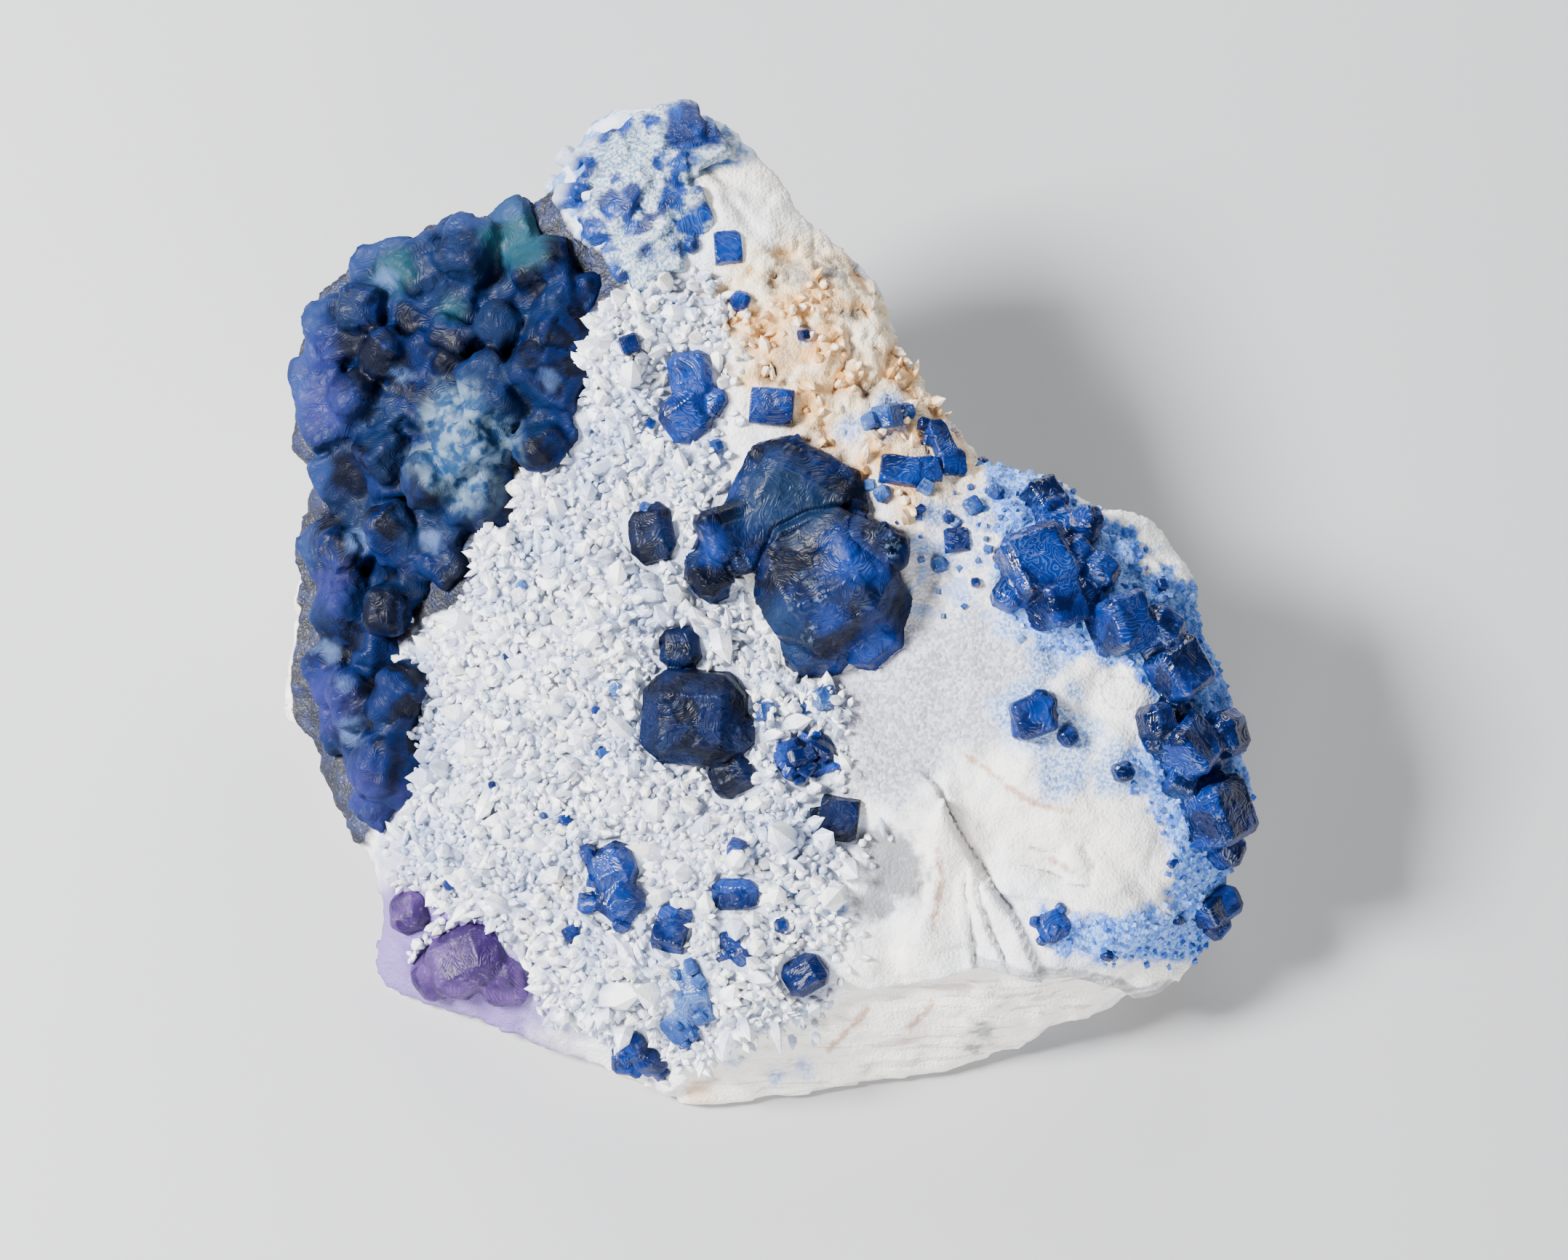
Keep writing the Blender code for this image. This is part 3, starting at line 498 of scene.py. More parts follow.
def grouped(maker, tree, inputs):
    node = maker.node("ShaderNodeGroup", node_tree=tree)
    for name, value in inputs.items():
        maker.put(node.inputs[name], value)
    return node.outputs


def region_mask(maker, place, name, ragged, softness, scale, share=1.0):
    """Where a place lies inside the region whose reach the named field holds, with a ragged edge."""
    inputs = {"Place": place, "Reach": maker.field(name), "Ragged": ragged, "Softness": softness}
    return maker.times(grouped(maker, RAGGED_EDGE, {**inputs, "Scale": scale})["Mask"], share)


def layered(maker, colour, layers):
    """A colour with others laid over it in turn, each by its own mask."""
    for mask, over in layers:
        colour = maker.blend(mask, colour, over)
    return colour


RAGGED_EDGE = make_ragged_edge()
SUGAR_GRAIN = make_sugar_grain()
GROWTH_SWIRLS = make_growth_swirls()

QUARTZ_IOR = 1.54
FLUORITE_IOR = 1.434

COOL_WHITE = (0.78, 0.80, 0.85)
WARM_WHITE = (0.88, 0.84, 0.78)
BRIGHT_WHITE = (0.92, 0.92, 0.92)
PALE_GREY = (0.44, 0.45, 0.49)
CREAM = (0.78, 0.58, 0.34)
OCHRE = (0.62, 0.31, 0.075)
BROWN = (0.13, 0.065, 0.02)
RUST = (0.42, 0.18, 0.08)
SMOKE = (0.10, 0.105, 0.12)
# Blue-grey of the duller quartz points, also laid on as painted shade down between the druse points.
DRUSE_SHADE = (0.36, 0.41, 0.54)
COBALT = (0.032, 0.14, 0.58)
SKY = (0.20, 0.40, 0.86)
ICE = (0.42, 0.56, 0.80)
NAVY = (0.0010, 0.0080, 0.056)
INK = (0.0003, 0.0014, 0.009)
LAVENDER = (0.12, 0.050, 0.30)
TEAL = (0.014, 0.062, 0.088)


def make_rock_finish():
    """Broken quartz: white to cream, with ochre, rust and smoke, and blue where fluorite grew."""
    material, maker, shader = material_with("quartz_rock", IOR=QUARTZ_IOR)
    place = maker.place()
    broad = maker.noise(place, 140, 4)
    middle = maker.noise(place, 700, 4)
    fine = maker.noise(place, 3500, 3)
    grain = grouped(maker, SUGAR_GRAIN, {"Place": place, "Scale": 3600})
    relief = maker.field("relief")
    low = maker.between(relief, 0.1, -0.7)

    def mask(name, *edge):
        return region_mask(maker, place, name, *edge)

    def along(length, across, detail):
        """Streaks drawn out level, across the stone."""
        drawn = maker.node("ShaderNodeMapping", {"Vector": place, "Scale": (length, across, across)})
        return maker.noise(drawn.outputs[0], 1.0, detail, 0.5)

    flank = maker.between(maker.field("flank"), 0.2, 0.9)
    bands = along(60, 420, 5)
    streaks = along(130, 1500, 5)
    wall_tone = maker.blend(maker.between(streaks, 0.50, 0.66), (0.92, 0.89, 0.84), (0.62, 0.55, 0.50))
    facet_grain = maker.between(grain["Grain"], 0.3, 0.72)
    facet_tone = maker.blend(facet_grain, (0.22, 0.23, 0.30), (0.50, 0.50, 0.59))
    shoulder_tone = maker.blend(maker.between(middle, 0.42, 0.60), CREAM, (0.86, 0.75, 0.58))
    crust_tone = maker.blend(maker.between(grain["Grain"], 0.28, 0.70), COBALT, SKY)
    crust_tone = maker.blend(maker.between(fine, 0.56, 0.74), crust_tone, ICE)
    crust_tone = maker.blend(maker.between(middle, 0.52, 0.64, 0, 0.8), crust_tone, COBALT)
    slope_grain = maker.between(grain["Grain"], 0.3, 0.72)
    slope_tone = maker.blend(slope_grain, (0.36, 0.36, 0.42), (0.68, 0.66, 0.68))
    slope_tone = maker.blend(maker.between(middle, 0.52, 0.62, 0, 0.8), slope_tone, (0.12, 0.25, 0.56))
    head_tone = maker.blend(maker.between(middle, 0.42, 0.56), (0.10, 0.22, 0.52), (0.60, 0.66, 0.76))
    film_tone = maker.blend(maker.between(fine, 0.4, 0.6), (0.06, 0.18, 0.50), ICE)
    ledge_tone = maker.blend(maker.between(streaks, 0.4, 0.6), PALE_GREY, SMOKE)
    dark_tone = maker.blend(maker.between(middle, 0.4, 0.7), INK, NAVY)
    ochre = mask("ochre", 1.4, 1.6, 260)
    gold = maker.math("MAXIMUM", mask("gold", 0.9, 1.2, 600), maker.between(relief, 0.1, -0.5))
    gold = maker.times(gold, maker.between(middle, 0.36, 0.56, 0.35, 1.0))
    colour = layered(maker, maker.blend(maker.between(broad, 0.35, 0.68), COOL_WHITE, WARM_WHITE), [
        (maker.between(middle, 0.52, 0.78, 0, 0.5), PALE_GREY),
        (maker.times(flank, maker.between(bands, 0.50, 0.60, 0, 0.6)), CREAM),
        (maker.times(flank, maker.between(bands, 0.46, 0.38, 0, 0.6)), PALE_GREY),
        # Painted shade: greyer down in the hollows of the fine relief.
        (maker.times(low, 0.45), PALE_GREY),
        # Painted shade: the rock under the druse points is laid blue-grey for the shade down between them.
        (mask("druse", 0.5, 0.5, 500, 0.85), DRUSE_SHADE),
        (mask("wall", 0.25, 0.35, 400), wall_tone),
        (mask("facet", 1.3, 1.0, 300, 0.9), facet_tone),
        (mask("slope", 1.2, 1.2, 350, 0.85), slope_tone),
        (maker.times(ochre, 0.9), shoulder_tone),
        (maker.times(maker.times(ochre, gold), 0.75), OCHRE),
        (mask("gold", 0.6, 0.6, 700, 0.55), OCHRE),
        (mask("film", 0.9, 0.9, 500, 0.9), film_tone),
        (mask("violet", 1.6, 2.0, 250, 0.9), LAVENDER),
        (mask("cobalt", 0.8, 0.5, 600), crust_tone),
        (mask("white", 0.5, 0.3, 800), BRIGHT_WHITE),
        (mask("head", 0.4, 0.4, 600), head_tone),
        (mask("ledge", 0.12, 0.12, 900, 0.75), ledge_tone),
        (mask("smoke", 0.8, 0.7, 900, 0.85), SMOKE),
        (mask("rust", 0.25, 0.25, 1500, 0.75), RUST),
        (mask("pit", 0.4, 0.5, 900, 0.95), BROWN),
        (mask("crack", 0.12, 0.14, 2200, 0.85), (0.13, 0.10, 0.09)),
        (mask("dark", 0.4, 0.3, 500), dark_tone),
        (maker.between(fine, 0.62, 0.76, 0, 0.3), PALE_GREY),
    ])
    maker.put(shader.inputs["Base Color"], colour)
    maker.put(shader.inputs["Roughness"], maker.between(fine, 0.3, 0.7, 0.45, 0.8))
    height = maker.plus(maker.times(grain["Height"], 0.6), maker.plus(fine, middle))
    bump = maker.node("ShaderNodeBump", {"Strength": 0.55, "Distance": 0.00018, "Height": height})
    maker.put(shader.inputs["Normal"], bump.outputs[0])
    return material


def make_druse_finish(name, dull, clear, shade, stain):
    """Quartz points: duller or clearer from one to the next, painted shade between them, stained in places.
    """
    material, maker, shader = material_with(name, IOR=QUARTZ_IOR)
    place = maker.place()
    tone = maker.field("tone")
    broad = maker.noise(place, 170, 3)
    fine = maker.noise(place, 4200, 3)
    colour = layered(maker, maker.blend(maker.between(tone, 0.15, 0.85), dull, clear), [
        (maker.between(tone, 0.30, 0.10, 0, 0.8), shade),
        (maker.between(tone, 0.88, 0.97, 0, 0.5), (0.80, 0.72, 0.62)),
        (maker.between(broad, 0.50, 0.66, 0, 0.6), stain),
        # Painted shade: each point takes the shade colour towards its foot; the ochre points take ochre
        # there.
        (maker.between(maker.field("rise"), 0.50, 0.05, 0, 0.9), shade),
        (maker.between(fine, 0.60, 0.78, 0, 0.5), PALE_GREY),
    ])
    maker.put(shader.inputs["Base Color"], colour)
    maker.put(shader.inputs["Roughness"], maker.between(fine, 0.3, 0.7, 0.2, 0.5))
    bump = maker.node("ShaderNodeBump", {"Strength": 0.6, "Distance": 0.00012, "Height": fine})
    maker.put(shader.inputs["Normal"], bump.outputs[0])
    return material


def make_fluorite_finish(name, deep, bright, frost, transmission, frosting, satin, shine, patches):
    """Fluorite: deeper or brighter from crystal to crystal, with winding steps and frosted grains."""
    constants = {"Transmission_Weight": transmission, "Specular_IOR_Level": shine}
    material, maker, shader = material_with(f"{name}_fluorite", IOR=FLUORITE_IOR, **constants)
    place = maker.place()
    broad = maker.noise(place, 280, 3, 0.3)
    middle = maker.noise(place, 1100, 4)
    fine = maker.noise(place, 5200, 2)
    swirls = grouped(maker, GROWTH_SWIRLS, {"Place": place, "Scale": 300, "Steps": 110})["Height"]
    grain = grouped(maker, SUGAR_GRAIN, {"Place": place, "Scale": 5200})
    own = maker.plus(broad, maker.times(maker.math("SUBTRACT", maker.field("tone"), 0.5), 0.25))
    sparkle = maker.times(maker.between(grain["Grain"], 0.62, 0.86), maker.between(middle, 0.46, 0.68))
    crests = maker.times(maker.between(swirls, 0.4, 1.0), maker.between(broad, 0.44, 0.62, 0, 0.45))
    colour = layered(maker, maker.blend(maker.between(own, 0.38, 0.66), deep, bright), [
        (maker.times(crests, frosting), frost),
        (maker.times(sparkle, frosting), frost),
    ])
    if patches:
        colour = patches(maker, place, colour, grain["Grain"])
    maker.put(shader.inputs["Base Color"], colour)
    maker.put(shader.inputs["Roughness"], maker.between(middle, 0.35, 0.65, satin, satin + 0.2))
    height = maker.plus(maker.times(fine, 0.6), maker.times(grain["Height"], 0.25))
    height = maker.plus(height, maker.times(swirls, 0.4))
    bump = maker.node("ShaderNodeBump", {"Strength": 0.35, "Distance": 0.00008, "Height": height})
    maker.put(shader.inputs["Normal"], bump.outputs[0])
    return material


def patch_mask(maker, place, name, softness, share=1.0):
    return region_mask(maker, place, name, 0.6, softness, 450, share)


def pair_patches(maker, place, colour, grain):
    """The great pair: slate faces that are partly painted sheen, painted deep-blue glow where light comes
    through, frosted edges.
    """
    frost = maker.between(maker.noise(place, 2600, 3), 0.48, 0.62)
    return layered(maker, colour, [
        # Slate-grey faces, in part a painted sheen.
        (patch_mask(maker, place, "slate", 1.6, 0.7), (0.006, 0.022, 0.062)),
        # Painted glow where light comes through.
        (patch_mask(maker, place, "lit", 1.3, 0.65), (0.003, 0.034, 0.25)),
        (maker.times(patch_mask(maker, place, "frosted", 0.5, 0.7), frost), (0.13, 0.21, 0.34)),
    ])


def wall_patches(maker, place, colour, grain):
    """The dark wall has sugary, teal and violet lumps, painted glints, and a painted glow along its left rim.
    """
    slate = maker.between(maker.noise(place, 190, 2), 0.50, 0.62, 0, 0.7)
    mottle = maker.between(maker.noise(place, 760, 4), 0.40, 0.60)
    sugar = maker.blend(mottle, (0.012, 0.045, 0.12), (0.125, 0.195, 0.28))
    return layered(maker, colour, [
        (slate, (0.003, 0.013, 0.050)),
        (patch_mask(maker, place, "sugar", 1.4), sugar),
        (patch_mask(maker, place, "teal", 1.2, 0.8), TEAL),
        (patch_mask(maker, place, "lilac", 1.8, 0.7), (0.022, 0.026, 0.15)),
        # Painted highlight: pale blue glints.
        (patch_mask(maker, place, "glint", 0.6, 0.5), (0.10, 0.17, 0.38)),
        # Painted glow: paler along the left rim.
        (maker.between(maker.field("rim"), 1.4, 0.2, 0, 0.6), (0.018, 0.040, 0.15)),
    ])


def head_patches(maker, place, colour, grain):
    """The head's crust is mottled: sugary grey-blue and white, with patches left clear and deep blue."""
    sugar = maker.blend(maker.between(grain, 0.30, 0.70), (0.12, 0.24, 0.40), (0.62, 0.68, 0.74))
    mottle = maker.between(maker.noise(place, 420, 4), 0.40, 0.50)
    clear = maker.math("SUBTRACT", 1.0, patch_mask(maker, place, "royal", 0.5))
    return layered(maker, colour, [
        (maker.times(mottle, clear), sugar),
        # Painted glow: paler along the left rim.
        (maker.between(maker.field("rim"), 1.6, 0.4, 0, 0.85), (0.50, 0.56, 0.70)),
    ])


# Every fluorite finish: its deep, bright and frosted colours, how far light goes through it, how frosted, how
# satin and how shiny it is, and what adds its own patches.
FLUORITE_FINISHES = {
    "deep": (INK, (0.0006, 0.0048, 0.034), (0.010, 0.032, 0.10), 0.12, 0.8, 0.32, 0.15, None),
    "pair": (INK, NAVY, (0.014, 0.038, 0.10), 0.15, 0.9, 0.34, 0.16, pair_patches),
    "wall": (INK, (0.0008, 0.008, 0.056), (0.008, 0.028, 0.09), 0.12, 0.3, 0.42, 0.1, wall_patches),
    "blue": ((0.0010, 0.009, 0.072), (0.003, 0.032, 0.24), (0.06, 0.14, 0.38), 0.35, 0.5, 0.22, 0.35, None),
    "crust": ((0.0006, 0.006, 0.050), (0.0024, 0.025, 0.21), (0.09, 0.20, 0.50), 0.4, 1.0, 0.12, 0.5, None),
    "head": (
        (0.0015, 0.012, 0.09), (0.005, 0.042, 0.26), (0.12, 0.22, 0.40), 0.25, 0.6, 0.34, 0.3, head_patches,
    ),
    "pale": ((0.008, 0.04, 0.20), (0.045, 0.13, 0.40), ICE, 0.3, 0.6, 0.25, 0.5, None),
    "sugar": (COBALT, SKY, ICE, 0.3, 0.9, 0.25, 0.5, None),
    "violet": ((0.024, 0.006, 0.075), (0.09, 0.035, 0.20), (0.26, 0.18, 0.42), 0.35, 0.6, 0.38, 0.3, None),
}
FINISH = {name: make_fluorite_finish(name, *values) for name, values in FLUORITE_FINISHES.items()}
FINISH["rock"] = make_rock_finish()
FINISH["druse"] = make_druse_finish("quartz_druse", COOL_WHITE, BRIGHT_WHITE, DRUSE_SHADE, (0.36, 0.46, 0.68))
FINISH["ochre"] = make_druse_finish("ochre_druse", CREAM, (0.88, 0.76, 0.60), OCHRE, (0.70, 0.40, 0.13))


def make_growth_tree():
    """Stands crystals on a surface, where the field named says, as close and as large as its inputs say."""
    tree = bpy.data.node_groups.new("crystal_growth", "GeometryNodeTree")
    tree.is_modifier = True
    inputs = [
        ("Surface", "NodeSocketGeometry"), ("Crystals", "NodeSocketCollection"),
        ("Field", "NodeSocketString"), ("Spacing", FLOAT), ("Smallest", FLOAT), ("Largest", FLOAT),
        ("Uneven", FLOAT), ("Lean", FLOAT), ("Turn", FLOAT), ("Seed", "NodeSocketInt"),
        ("Finish", "NodeSocketMaterial"),
    ]
    for name, kind in inputs:
        tree.interface.new_socket(name=name, in_out="INPUT", socket_type=kind)
    tree.interface.new_socket(name="Grown", in_out="OUTPUT", socket_type="NodeSocketGeometry")
    maker = NodeMaker(tree)
    given = maker.node("NodeGroupInput").outputs
    field = maker.node("GeometryNodeInputNamedAttribute", {"Name": given["Field"]}, data_type="FLOAT")
    crowd = maker.math("DIVIDE", 4.0, maker.times(given["Spacing"], given["Spacing"]))

    def vector(x, y, z):
        return maker.node("ShaderNodeCombineXYZ", {0: x, 1: y, 2: z}).outputs[0]

    def scaled(first, share):
        return maker.node("ShaderNodeVectorMath", {0: first, 3: share}, operation="SCALE").outputs[0]

    def random(kind, low, high, seed):
        """A random value from low to high for each crystal."""
        socket = ("FLOAT_VECTOR", "FLOAT", "INT").index(kind)
        inputs = {2 * socket: low, 2 * socket + 1: high, 8: seed}
        return maker.node("FunctionNodeRandomValue", inputs, data_type=kind).outputs[socket]

    spots = maker.node(
        "GeometryNodeDistributePointsOnFaces",
        {"Mesh": given["Surface"], "Distance Min": given["Spacing"], "Density Max": crowd,
         "Density Factor": field.outputs[0], "Seed": given["Seed"]},
        distribute_method="POISSON",
    )
    most = vector(given["Lean"], given["Lean"], given["Turn"])
    tilt = random("FLOAT_VECTOR", scaled(most, -1.0), most, given["Seed"])
    turn = maker.node("FunctionNodeEulerToRotation", {0: tilt}).outputs[0]
    stance = maker.node(
        "FunctionNodeRotateRotation", {"Rotation": spots.outputs["Rotation"], "Rotate By": turn},
        rotation_space="LOCAL",
    )
    size = random("FLOAT", given["Smallest"], given["Largest"], given["Seed"])
    thin = maker.math("SUBTRACT", 1.0, given["Uneven"])
    fat = maker.plus(1.0, given["Uneven"])
    other = maker.plus(given["Seed"], 5.0)
    build = random("FLOAT_VECTOR", vector(thin, thin, thin), vector(fat, fat, fat), other)
    kinds = maker.node(
        "GeometryNodeCollectionInfo",
        {"Collection": given["Crystals"], "Separate Children": True, "Reset Children": True},
    )
    stand = maker.node(
        "GeometryNodeInstanceOnPoints",
        {"Points": spots.outputs["Points"], "Instance": kinds.outputs[0], "Pick Instance": True,
         "Instance Index": random("INT", 0, 9, given["Seed"]), "Rotation": stance.outputs[0],
         "Scale": scaled(build, size)},
    )
    tone = random("FLOAT", 0.0, 1.0, maker.plus(given["Seed"], 9.0))
    toned = maker.node(
        "GeometryNodeStoreNamedAttribute", {"Geometry": stand.outputs[0], "Name": "tone", "Value": tone},
        data_type="FLOAT", domain="INSTANCE",
    )
    real = maker.node("GeometryNodeRealizeInstances", {0: toned.outputs[0]})
    flat = maker.node("GeometryNodeSetShadeSmooth", {"Geometry": real.outputs[0], "Shade Smooth": False})
    inputs = {"Geometry": flat.outputs[0], "Material": given["Finish"]}
    finished = maker.node("GeometryNodeSetMaterial", inputs)
    maker.put(maker.node("NodeGroupOutput").inputs["Grown"], finished.outputs[0])
    return tree


GROWTH = make_growth_tree()


def grow(surface, crystals, field, finish, seed, spacing, smallest, largest, lean, uneven=0.2):
    """A mesh of crystals grown on a surface. Sizes are in millimetres and angles in degrees."""
    obj = new_object("growth", surface)
    modifier = obj.modifiers.new("growth", "NODES")
    modifier.node_group = GROWTH
    values = {
        "Crystals": crystals, "Field": field, "Spacing": spacing * MM, "Smallest": smallest * MM,
        "Largest": largest * MM, "Uneven": uneven, "Lean": math.radians(lean), "Turn": math.pi,
        "Seed": seed, "Finish": FINISH[finish],
    }
    for item in GROWTH.interface.items_tree:
        if item.name in values:
            modifier[item.identifier] = values[item.name]
    return evaluated_mesh(obj)


def crystal_stock(name, meshes):
    """A collection of crystals one unit in size that growths pick from."""
    stock = bpy.data.collections.new(name)
    bpy.context.scene.collection.children.link(stock)
    for number, mesh in enumerate(meshes):
        stock.objects.link(bpy.data.objects.new(f"{name}_{number}", mesh))
    return stock


def quartz_point(shank, tip, skew):
    """A six-sided point of radius one, its foot below the surface it stands on."""
    bm = bmesh.new()
    bmesh.ops.create_cone(bm, cap_ends=True, segments=6, radius1=1.0, radius2=0.9, depth=shank + 0.8)
    bmesh.ops.translate(bm, verts=bm.verts, vec=(0, 0, (shank - 0.8) / 2))
    top = max(bm.faces, key=lambda face: face.calc_center_median().z)
    apex = bmesh.ops.poke(bm, faces=[top])["verts"][0]
    apex.co += Vector((skew, skew * 0.6, tip))
    mesh = bpy.data.meshes.new("quartz_point")
    bm.to_mesh(mesh)
    bm.free()
    height = mesh_places(mesh)[:, 2]
    set_field(mesh, "rise", np.clip(height / (shank + tip), 0, 1))
    return mesh


def fluorite_crystal(edge_cut, sink):
    """A cube one unit across with its edges cut back. The share sink lies in what carries it."""
    bm = bmesh.new()
    bmesh.ops.create_cube(bm, size=1)
    if edge_cut:
        bmesh.ops.bevel(
            bm, geom=bm.edges[:], offset=edge_cut, affect="EDGES", offset_type="OFFSET", segments=1
        )
    bmesh.ops.translate(bm, verts=bm.verts, vec=(0, 0, 0.5 - sink))
    mesh = bpy.data.meshes.new("fluorite_crystal")
    bm.to_mesh(mesh)
    bm.free()
    return mesh


POINTS = crystal_stock("points", [
    quartz_point(0.9, 1.9, 0.0), quartz_point(1.4, 1.6, 0.35), quartz_point(0.5, 1.8, -0.3),
    quartz_point(1.9, 1.5, 0.2), quartz_point(0.8, 1.2, 0.5),
])
GRAINS = crystal_stock("grains", [fluorite_crystal(0, 0.4), fluorite_crystal(0, 0.2)])
CRYSTALS = crystal_stock("crystals", [fluorite_crystal(0.12, 0.5), fluorite_crystal(0.22, 0.4)])

# The faces of the stone's own mesh and of the rough meshes that crystals are placed on, and how far the
# stone's surface rises to meet the fluorites, in millimetres.
ROCK_GRAIN = 0.64
ROUGH_GRAIN = 0.5
LIFT = 0.32

# Broken edges on the pale face, as (line, rise, width): the rock stands higher to the left of each line.
STEPS = [
    ([(19.1, -24.8), (17.3, -21.4), (16.1, -19.9), (14.3, -16.9), (12.0, -13.1)], 1.0, 2.4),
    ([(12.0, -13.4), (11.4, -15.4), (11.3, -17.7), (10.9, -21.4), (9.8, -23.9)], 0.8, 1.8),
    ([(14.6, -25.4), (14.3, -22.4), (14.0, -19.4)], 0.4, 0.9),
    ([(16.9, -25.2), (15.6, -22.9), (15.0, -19.4)], 0.45, 0.8),
    ([(25.6, -22.4), (22.8, -21.2), (19.6, -20.9), (17.2, -20.6)], -0.5, 1.6),
    ([(9.6, -24.2), (11.6, -24.6), (13.9, -24.3)], 0.3, 0.6),
]
# Ridges and grooves, as (line, width, rise).
RIDGES = [
    ([(12.2, -13.2), (14.5, -17.0), (16.3, -20.0), (17.6, -21.6)], 0.35, -0.8),
    ([(14.0, -19.6), (14.3, -22.4), (14.7, -25.2)], 0.3, -0.45),
    ([(15.2, -19.6), (15.8, -22.9), (17.0, -25.2)], 0.3, -0.45),
    ([(18.0, -18.1), (20.6, -18.8), (22.5, -19.7), (23.6, -19.9), (24.0, -18.4), (23.2, -16.9)], 0.3, -0.3),
    ([(19.1, -16.9), (21.4, -17.3)], 0.3, -0.25),
    ([(4.9, 23.2), (5.3, 21.8), (4.7, 20.4), (4.3, 19.2), (3.9, 18.4)], 0.3, -0.5),
    ([(5.6, 21.8), (6.1, 20.2), (5.9, 19.2), (6.6, 18.4)], 0.25, -0.4),
    ([(-7.4, 37.2), (-5.9, 35.6), (-3.2, 34.1), (-1.2, 33.4)], 0.5, -0.4),
    ([(-4.4, 33.6), (-3.2, 32.2), (-2.2, 30.8)], 0.45, -0.35),
    ([(22.0, 9.2), (24.6, 7.9), (27.2, 7.0), (29.2, 4.9)], 0.4, -0.4),
]
RING = [
    (24.7, -4.4), (25.4, -3.6), (26.6, -3.8), (27.3, -4.9), (26.9, -6.1), (25.8, -6.3), (24.8, -5.5),
    (24.7, -4.4),
]
LEDGE = [(14.7, -25.5), (19.0, -26.1), (22.0, -26.2), (25.2, -27.0), (27.2, -27.7), (29.4, -26.9)]
CRACKS = [line for line, _, _ in RIDGES[:7]] + [RING]
RUST_LINES = [
    [(12.0, -16.9), (11.9, -19.9), (11.5, -23.3)],
    [(13.9, -9.5), (16.9, -11.7), (19.1, -13.2), (22.1, -14.0)],
    [(3.4, -32.4), (4.6, -31.1), (6.3, -29.5)],
    [(9.8, -30.6), (11.4, -29.2)],
    [(20.6, -17.8), (22.4, -18.6)],
]

# Crystals given one by one, as (u, v, size, turn, lean): pieces of quartz, and small fluorites in the druse.
QUARTZ_PIECES = [
    (-12.9, -24.5, 1.25, -40, 62), (-6.1, -21.7, 1.0, 80, 20), (-2.4, -22.6, 1.1, 60, 16),
    (0.2, -16.4, 1.6, 120, 24), (2.9, -16.4, 1.4, 10, 20), (4.8, -18.4, 1.3, -30, 30),
    (4.0, -20.6, 1.5, 200, 24), (-7.8, -18.8, 1.3, 100, 26), (-3.9, -17.9, 1.1, 30, 20),
    (-7.2, -13.7, 1.1, 150, 24), (-10.1, -14.2, 1.2, 70, 30), (-13.4, -28.4, 1.6, 10, 40),
    (-10.0, -28.4, 1.7, 160, 34), (-12.2, -30.6, 1.1, 230, 26), (-4.3, -28.4, 1.2, 60, 30),
    (-2.1, -26.1, 0.9, 120, 18), (-0.7, -20.6, 1.2, 45, 24), (-0.9, -4.9, 1.1, 100, 20),
    (0.3, -7.2, 1.0, 20, 26), (-7.4, 6.9, 1.0, 10, 24), (-9.2, 1.0, 1.2, 120, 30),
    (-13.0, 4.0, 1.2, 60, 26), (-17.6, 9.4, 1.3, 140, 34), (-15.4, -1.0, 1.2, 30, 30),
    (-20.0, -4.6, 1.3, 170, 34), (-25.0, -6.6, 1.2, 150, 34), (-27.4, -11.6, 1.2, 180, 36),
    (-22.0, -16.0, 1.2, 80, 30), (-12.0, 19.4, 1.3, 60, 30), (-10.6, 23.0, 1.1, 120, 24),
    (-14.6, 21.6, 1.2, 170, 30), (-24.6, 0.6, 1.3, 170, 36),
]
# Crystals grown together with a larger growth, set the same way.
PAIR_SIDE = [
    (-4.4, 7.6, 4.2, 20, 14), (-5.8, 4.4, 3.4, 38, 14), (-2.6, 6.2, 3.6, 10, 10), (7.0, 6.2, 4.3, 6, 0),
]
INNER_SPOT = [
    (19.3, -6.7, 3.2, 20, 10), (20.0, -5.8, 2.2, 50, 10), (18.6, -7.4, 2.0, 5, 10),
    (22.0, -8.3, 1.5, 40, 10),
]
RIGHT_CRYSTALS = [
    (20.1, 10.0, 2.9, 30, 20), (23.4, 8.2, 2.3, 10, 20), (19.4, 4.9, 5.2, 25, 14),
    (24.3, 4.4, 2.8, 50, 20), (21.3, 2.0, 3.4, 15, 20), (17.4, 2.6, 2.4, 60, 20), (26.0, 0.5, 4.2, 20, 24),
    (28.8, -0.2, 3.4, 55, 24), (30.3, -3.2, 4.3, 30, 28), (28.6, -7.2, 2.8, 10, 24),
    (31.0, -9.2, 4.2, 40, 28), (33.6, -8.2, 3.6, 15, 30), (33.2, -14.2, 4.9, 20, 28),
    (33.9, -17.0, 2.8, 50, 30), (32.9, -21.8, 2.2, 30, 30), (26.2, -11.0, 1.6, 20, 20),
    (21.0, 12.9, 1.8, 20, 20), (22.6, 6.0, 2.2, 35, 20), (30.6, -11.8, 2.4, 65, 28),
]
